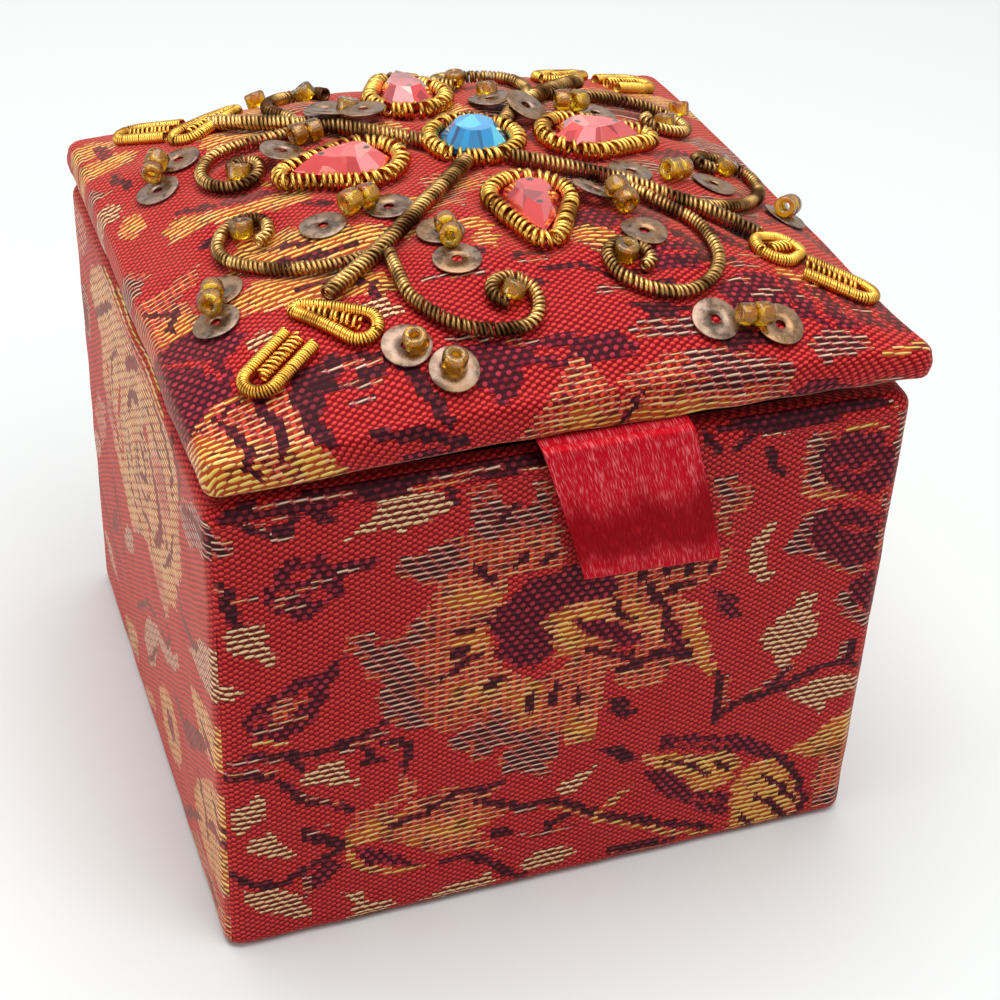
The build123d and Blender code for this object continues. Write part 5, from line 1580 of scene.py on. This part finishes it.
dice = np.random.default_rng(5)
rested = [settle(place, SEQUIN_RADIUS, SEQUIN_LIFT) for place in SEQUINS]
disc = [(SEQUIN_HOLE, -SEQUIN_HALF), (SEQUIN_HOLE, SEQUIN_HALF), (1.2, SEQUIN_HALF),
        (SEQUIN_RADIUS - 0.04, SEQUIN_HALF), (SEQUIN_RADIUS, SEQUIN_HALF / 2), (SEQUIN_RADIUS, -SEQUIN_HALF),
        (1.2, -SEQUIN_HALF)]
discs = []
for middle, axis in rested:
    cup, cup_to = dice.normal(0, 0.018), dice.uniform(0, 2 * np.pi)
    discs.append(lathed(disc, middle + SEQUIN_HALF * axis, axis, 28,
                        lambda a, cup=cup, cup_to=cup_to: cup * np.cos(2 * (a - cup_to)) + 0.01))
material, n, shader = new_material("sequin")
mottle = n.ramp(n.noise(n.in_place(), 900.0, 6.0, 0.7), 0.4, 0.62)
gilt_left = n.ramp(n.noise(n.in_place(), 260.0, 2.0), 0.42, 0.62)
worn = n.blend(mottle, srgb(98, 78, 64), srgb(148, 126, 110))
n.feed(shader, {"Base Color": n.blend(n.times(gilt_left, 0.5), worn, srgb(150, 108, 62)),
                "Roughness": n.line(mottle, 0.22, 0.24), "Metallic": 0.75,
                "Normal": relief(n, mottle, 0.00001)})
lid_piece("worn_sequins", discs, material, "sequins")


# Seed beads: short tubes of clear amber glass with round ends, strung in pairs from sequin to
# sequin, or sewn down alone at the end of a scroll.
PAIRS = [((-0.83, 0.40), (-0.79, 0.48)), ((-0.42, 0.33), (-0.35, 0.34)), ((-0.40, -0.18), (-0.33, -0.16)),
         ((-0.83, -0.43), (-0.81, -0.35)), ((-0.20, -0.47), (-0.19, -0.40)), ((-0.40, -0.81), (-0.32, -0.88)),
         ((0.33, -0.31), (0.34, -0.39)), ((0.48, -0.87), (0.55, -0.88)), ((0.56, -0.15), (0.62, -0.12)),
         ((0.92, -0.24), (0.86, -0.30)), ((0.40, 0.34), (0.47, 0.33))]
SINGLES = [(-0.22, 0.48), (0.22, 0.49), (0.87, 0.50), (-0.42, 0.84), (-0.675, -0.09), (-0.10, -0.70),
           (0.82, 0.01), (0.25, -0.61), (-0.61, 0.23), (-0.29, 0.73), (0.74, 0.31), (0.17, 0.65)]
UPRIGHT = {(-0.40, -0.81), (-0.32, -0.88)}
BEAD_RADIUS = 1.0
BEAD_LONG = 1.45
BEAD_HOLE = 0.42
BEAD_ROUND = 0.3
BEAD_OVER = 0.12


def bead(middle, axis, size):
    """A tube with round ends, turned about its axis: the hole's wall, the end rounds and the outside."""
    half, outer = BEAD_LONG / 2 * size, BEAD_RADIUS * size
    end = [(outer - BEAD_ROUND + BEAD_ROUND * np.cos(a), half - BEAD_ROUND + BEAD_ROUND * np.sin(a))
           for a in np.linspace(0, np.pi / 2, 4)]
    profile = [(BEAD_HOLE, -half)] + [(r, -h) for r, h in end[::-1]] + end + [(BEAD_HOLE, half)]
    return lathed(profile[::-1], middle, unit(axis), 22)


def bead_rest(place):
    """The middle of a bead that lies at a place, on the nearest sequin's plane or on the cloth."""
    spot = place * LID_HALF
    middle, axis = rested[np.argmin([np.hypot(*(disc_at[:2] - spot)) for disc_at, _ in rested])]
    ground = crown_height(*spot)
    if np.hypot(*(middle[:2] - spot)) < SEQUIN_RADIUS + 0.5:
        ground = max(middle[2] - ((spot - middle[:2]) @ axis[:2]) / axis[2], ground)
    return np.array([*spot, ground]) + crown_normal(*spot) * (BEAD_RADIUS + BEAD_OVER)


beads = []
for pair in PAIRS:
    ends = [bead_rest(place) for place in pair]
    line = unit(ends[1] - ends[0])
    mean = (ends[0] + ends[1]) / 2
    for sign, end in ((-1, ends[0]), (1, ends[1])):
        size = dice.uniform(0.94, 1.06)
        if pair[0] in UPRIGHT:
            beads.append(bead(end - 0.15 * crown_normal(*end[:2]), [0.18 * sign - 0.15, -0.35, 1.0], size))
        else:
            axis = unit(line + dice.normal(0, 0.14, 3))
            middle = mean + sign * (BEAD_LONG / 2 + 0.06) * line + dice.normal(0, 0.05, 3)
            beads.append(bead(middle, axis, size))
for place in SINGLES:
    up = crown_normal(*(place * LID_HALF))
    axis = up + dice.normal(0, 0.3, 3) * [1, 1, 0]
    middle, _ = settle(place, 0.5, 0.0)
    beads.append(bead(middle + up * (BEAD_LONG / 2 + 0.1), axis, dice.uniform(0.94, 1.06)))
material, n, shader = new_material("amber_bead")
swirl = n.ramp(n.noise(n.in_place(), 380.0, 0.0), 0.35, 0.65)
amber = n.blend(swirl, srgb(255, 214, 40), srgb(224, 160, 14))
# painted shading of the glass: by facing, each bead's middle is painted bright amber and its rims dark brown
n.feed(shader, {"Base Color": n.blend(n.ramp(n.layer_facing(), 0.12, 0.72), amber, srgb(120, 76, 0)),
                "Roughness": 0.04, "IOR": 1.5, "Transmission Weight": 0.82})
lid_piece("glass_beads", beads, material, "seed_beads")


# Pull tab: half-inch red satin ribbon folded double, both its ends glued between the lid's board
# and its lining. It hangs down the front, leans to the right and bows a little at its middle.
RIBBON_WIDTH = 12.8
RIBBON_LEFT = -3.7
RIBBON_LEAN = 4.9
RIBBON_TUCK = 3.2
RIBBON_FOLD = 0.42
RIBBON_BEND = 0.5
RIBBON_APART = 0.12
SWING = {"back": -0.35, "front": -0.55}
NARROWED = {"back": 0.04, "front": 0.045}
BOW = {"back": 0.05, "front": -0.28}
tab_low, tab_high = (np.array(corner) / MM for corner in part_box("ribbon_tab"))


def ribbon_side():
    """The ribbon's line in the side view (y, z): under the lid, down, round the fold and back up.

    Each turn is a quarter or half circle, a little flattened at the last one, between straight runs.
    The place of the lid's underside and of the fold's middle come with it.
    """
    top = box_top + GAP_FRONT - 0.1
    under = RIBBON_BEND - 0.22
    back_y, front_y = tab_high[1] - 0.17, tab_low[1] + 0.2
    middle_y, half_y = (back_y + front_y) / 2, (back_y - front_y) / 2
    foot = tab_low[2] + RIBBON_FOLD
    outer = RIBBON_BEND + 2 * half_y
    quarter = np.linspace(0, np.pi / 2, 7)
    line = [(back_y + RIBBON_BEND + t, top) for t in np.arange(RIBBON_TUCK, 0, -0.4)]
    line += [(back_y + RIBBON_BEND - RIBBON_BEND * np.sin(a), top - RIBBON_BEND + RIBBON_BEND * np.cos(a))
             for a in quarter]
    line += [(back_y, z) for z in np.linspace(top - RIBBON_BEND, foot, 34)[1:]]
    line += [(middle_y + half_y * np.cos(a), foot - RIBBON_FOLD * np.sin(a))
             for a in np.linspace(0, np.pi, 11)[1:]]
    line += [(front_y, z) for z in np.linspace(foot, top - RIBBON_BEND, 34)[1:]]
    line += [(front_y + outer - outer * np.cos(a), top - RIBBON_BEND + under * np.sin(a))
             for a in quarter[1:]]
    line += [(front_y + outer + t, top - RIBBON_BEND + under) for t in np.arange(0.4, RIBBON_TUCK, 0.4)]
    return np.array(line), top, foot


def ribbon_sheet():
    """A strip that follows the side view's line, its width along x, and the length of its run.

    It leans to the right by the share of the way down, and narrows a little towards the fold. Its
    front layer bows out between its edges and at half its height, with a slight ripple.
    """
    line, top, foot = ribbon_side()
    run = np.concatenate([[0], np.cumsum(np.hypot(*np.diff(line, axis=0).T))])
    on_back = (run < run[-1] / 2)[:, None]
    swing, narrow, bow = (np.where(on_back, by["back"], by["front"]) for by in (SWING, NARROWED, BOW))
    line_y, line_z = line[:, :1], line[:, 1:]
    down = np.clip((top - line_z) / (top - foot), 0, 1)
    across = np.linspace(-1, 1, 25)
    middle = RIBBON_LEFT + RIBBON_WIDTH / 2 + RIBBON_LEAN * down + swing * down ** 1.5
    narrow = narrow * down
    x = middle + (across - narrow) * (1 - narrow) * RIBBON_WIDTH / 2
    hang = np.sin(np.pi * down) ** 0.7
    bow = bow * hang * (1 - across ** 2)
    bow = bow + hang * (0.07 * ripple(x, line_z + 0 * x, 77, 9.0)) * np.where(on_back, 0, 1)
    y = line_y + np.minimum(bow, RIBBON_APART)
    z = line_z - 0.21 * down ** 3 * across
    points = np.stack([x, y, z], -1).reshape(-1, 3)
    piece = mesh_piece("satin_ribbon", points, grid_faces(*x.shape))
    mark(piece, "strip", (across * RIBBON_WIDTH / 2 + 0 * x, run[:, None] + 0 * x, 0 * x))
    return piece, run[-1]


def satin_material(length):
    """Red satin: fine threads along the ribbon, lighter as a painted sheen, and painted bright bands across
    it where it would turn to the light.

    The bands lie at heights below the lid, moved by a slow noise, so that they waver.
    """
    material, n, shader = new_material("satin_ribbon")
    strip = n.attribute("strip")

    def streaks(across, along, detail):
        """Noise drawn out along the ribbon, by its two scales to a millimetre."""
        return n.noise(n.node("Mapping", {0: strip, 3: (across, along, 1.0)}), 1.0, detail)

    dashes, slow, waver = streaks(8.5, 1.0, 1.0), streaks(1.6, 0.12, 1.0), streaks(0.35, 0.05, 0.0)
    # painted sheen: the threads are lighter streaks in the colour, and the same threads make the relief
    threads = n.ramp(n.line(slow, 0.25, n.times(dashes, 0.75)), 0.47, 0.68)
    from_top = n.minus(length - RIBBON_TUCK, n.node("SeparateXYZ", {0: strip}, 1))
    down = n.line(n.minus(waver, 0.5), 5.0, from_top)
    # painted light: bright bands near the top and near the fold, deep red between them
    painted_light_bands = n.more(n.ramp(down, 8.6, 4.6), n.times(n.ramp(down, 11.0, 13.6), 0.8))
    satin = n.blend(n.times(threads, 0.6), srgb(148, 0, 12), srgb(210, 20, 38))
    bright = n.blend(threads, srgb(204, 8, 32), srgb(255, 112, 118))
    n.feed(shader, {"Base Color": n.blend(painted_light_bands, satin, bright), "Roughness": 0.42,
                    "Specular IOR Level": 0.04, "Normal": relief(n, threads, 0.00005)})
    return material


ribbon, ribbon_run = ribbon_sheet()
ribbon.data.materials.append(satin_material(ribbon_run))
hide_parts("ribbon_tab", "ribbon_anchor")
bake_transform(ribbon)


# Hinge: one strip of the brocade, glued to the back of the box and of the lid, which bends where it
# spans the gap between them.
HINGE_THICK = 0.34
HINGE_OVER = 0.6
leaf_low, leaf_high = (np.array(corner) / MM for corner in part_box("hinge_cloth_box_leaf"))
upper_low, upper_high = (np.array(corner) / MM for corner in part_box("hinge_cloth_lid_leaf"))


def hinge_strip():
    """A thin closed strip up the back, its outer face brought down to the inner one at its edges.

    Its inner face leans from the box's back to the lid's by the share of the way over the gap.
    """
    u, v = np.meshgrid(np.linspace(0, 1, 90), np.linspace(0, 1, 60))
    x = leaf_low[0] + (leaf_high[0] - leaf_low[0]) * u
    z = leaf_low[2] + (upper_high[2] - leaf_low[2]) * v
    share = np.clip((z - leaf_high[2] + HINGE_OVER) / (upper_low[2] - leaf_high[2] + 2 * HINGE_OVER), 0, 1)
    inner = leaf_low[1] + 0.02 + (upper_low[1] - leaf_low[1]) * share
    outer = inner + HINGE_THICK + 0.03 * ripple(x, z, 31, 8.0)
    from_edge = np.minimum(np.minimum(u, 1 - u) * 40, np.minimum(v, 1 - v) * 30)
    outer = inner + (outer - inner) * np.clip(from_edge, 0, 1) ** 0.5
    points = np.concatenate([np.stack([x, y, z], -1).reshape(-1, 3) for y in (outer, inner)])
    quads = grid_faces(*u.shape)
    piece = mesh_piece("hinge_strip", points, np.concatenate([quads[:, ::-1], quads + u.size]))
    weave_on(piece, -points[:, 0], points[:, 2] - 9.0, FRONT_DRAWING)
    return piece


hinge = hinge_strip()
hinge.data.materials.append(BROCADE)
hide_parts("hinge_cloth_box_leaf", "hinge_cloth_lid_leaf")
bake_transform(hinge)


# Camera: it stands where the photograph was taken from, in front of the box, to its left and above
# it. Its place is in millimetres, and its turn, rise and roll are in degrees.
CAMERA_AT = (-54.13, -151.31, 138.94)
CAMERA_TURN = -21.159
CAMERA_RISE = 35.761
CAMERA_ROLL = 2.787
CAMERA_LENS = 74.5
turn, rise, roll = np.radians([CAMERA_TURN, CAMERA_RISE, CAMERA_ROLL])
backwards = np.array([np.sin(turn) * np.cos(rise), -np.cos(turn) * np.cos(rise), np.sin(rise)])
level = unit(np.cross(-backwards, [0, 0, 1]))
upright = np.cross(level, -backwards)
rightwards = np.cos(roll) * level + np.sin(roll) * upright
upwards = np.cos(roll) * upright - np.sin(roll) * level
camera = bpy.data.objects.new("camera", bpy.data.cameras.new("camera"))
bpy.context.scene.collection.objects.link(camera)
camera.data.lens = CAMERA_LENS
camera.data.clip_start = 0.01
aim = Matrix(np.stack([rightwards, upwards, backwards], 1).tolist()).to_4x4()
camera.matrix_world = Matrix.Translation(Vector(CAMERA_AT) * MM) @ aim
bpy.context.scene.camera = camera


# Floor, lights and background: a pale matt table top, three soft lamps above, in front and to the
# left, and a surround that is white to the eye and in reflections, and dim as light.
FLOOR_HALF = 1.5
AIMED_AT = Vector((0, 0, 0.03))
SURROUND_LIGHT = 0.24
table = bpy.data.meshes.new("table_top")
table.from_pydata([(x * FLOOR_HALF, y * FLOOR_HALF, 0) for x, y in ((-1, -1), (1, -1), (1, 1), (-1, 1))], [],
                  [(0, 1, 2, 3)])
floor = bpy.data.objects.new("table_top", table)
bpy.context.scene.collection.objects.link(floor)
material, n, shader = new_material("pale table")
n.feed(shader, {"Base Color": srgb(230, 234, 233), "Roughness": 0.7})
table.materials.append(material)

for name, at, size, power in (("sky_panel", (-0.02, 0.06, 0.55), 0.5, 2.8),
                              ("front_panel", (0.16, -0.3, 0.56), 0.4, 1.2),
                              ("left_panel", (-0.6, -0.02, 0.14), 0.3, 1.0)):
    lamp = bpy.data.lights.new(name, "AREA")
    lamp.shape = "DISK"
    lamp.size = size
    lamp.energy = power
    holder = bpy.data.objects.new(name, lamp)
    bpy.context.scene.collection.objects.link(holder)
    holder.location = at
    holder.rotation_euler = (AIMED_AT - Vector(at)).to_track_quat("-Z", "Y").to_euler()

world = bpy.data.worlds.new("studio")
bpy.context.scene.world = world
world.use_nodes = True
world.node_tree.nodes.clear()
n = Nodes(world.node_tree)
seen = n.node("LightPath", {}, "Is Camera Ray")
for way in ("Is Glossy Ray", "Is Transmission Ray"):
    seen = n.more(seen, n.node("LightPath", {}, way))
strength = n.line(seen, 1 - SURROUND_LIGHT, SURROUND_LIGHT)
surround = n.node("Background", {"Color": (1, 1, 1, 1), "Strength": strength})
n.feed(world.node_tree.nodes.new("ShaderNodeOutputWorld").inputs, {"Surface": surround})

bpy.context.scene.view_settings.view_transform = "Standard"
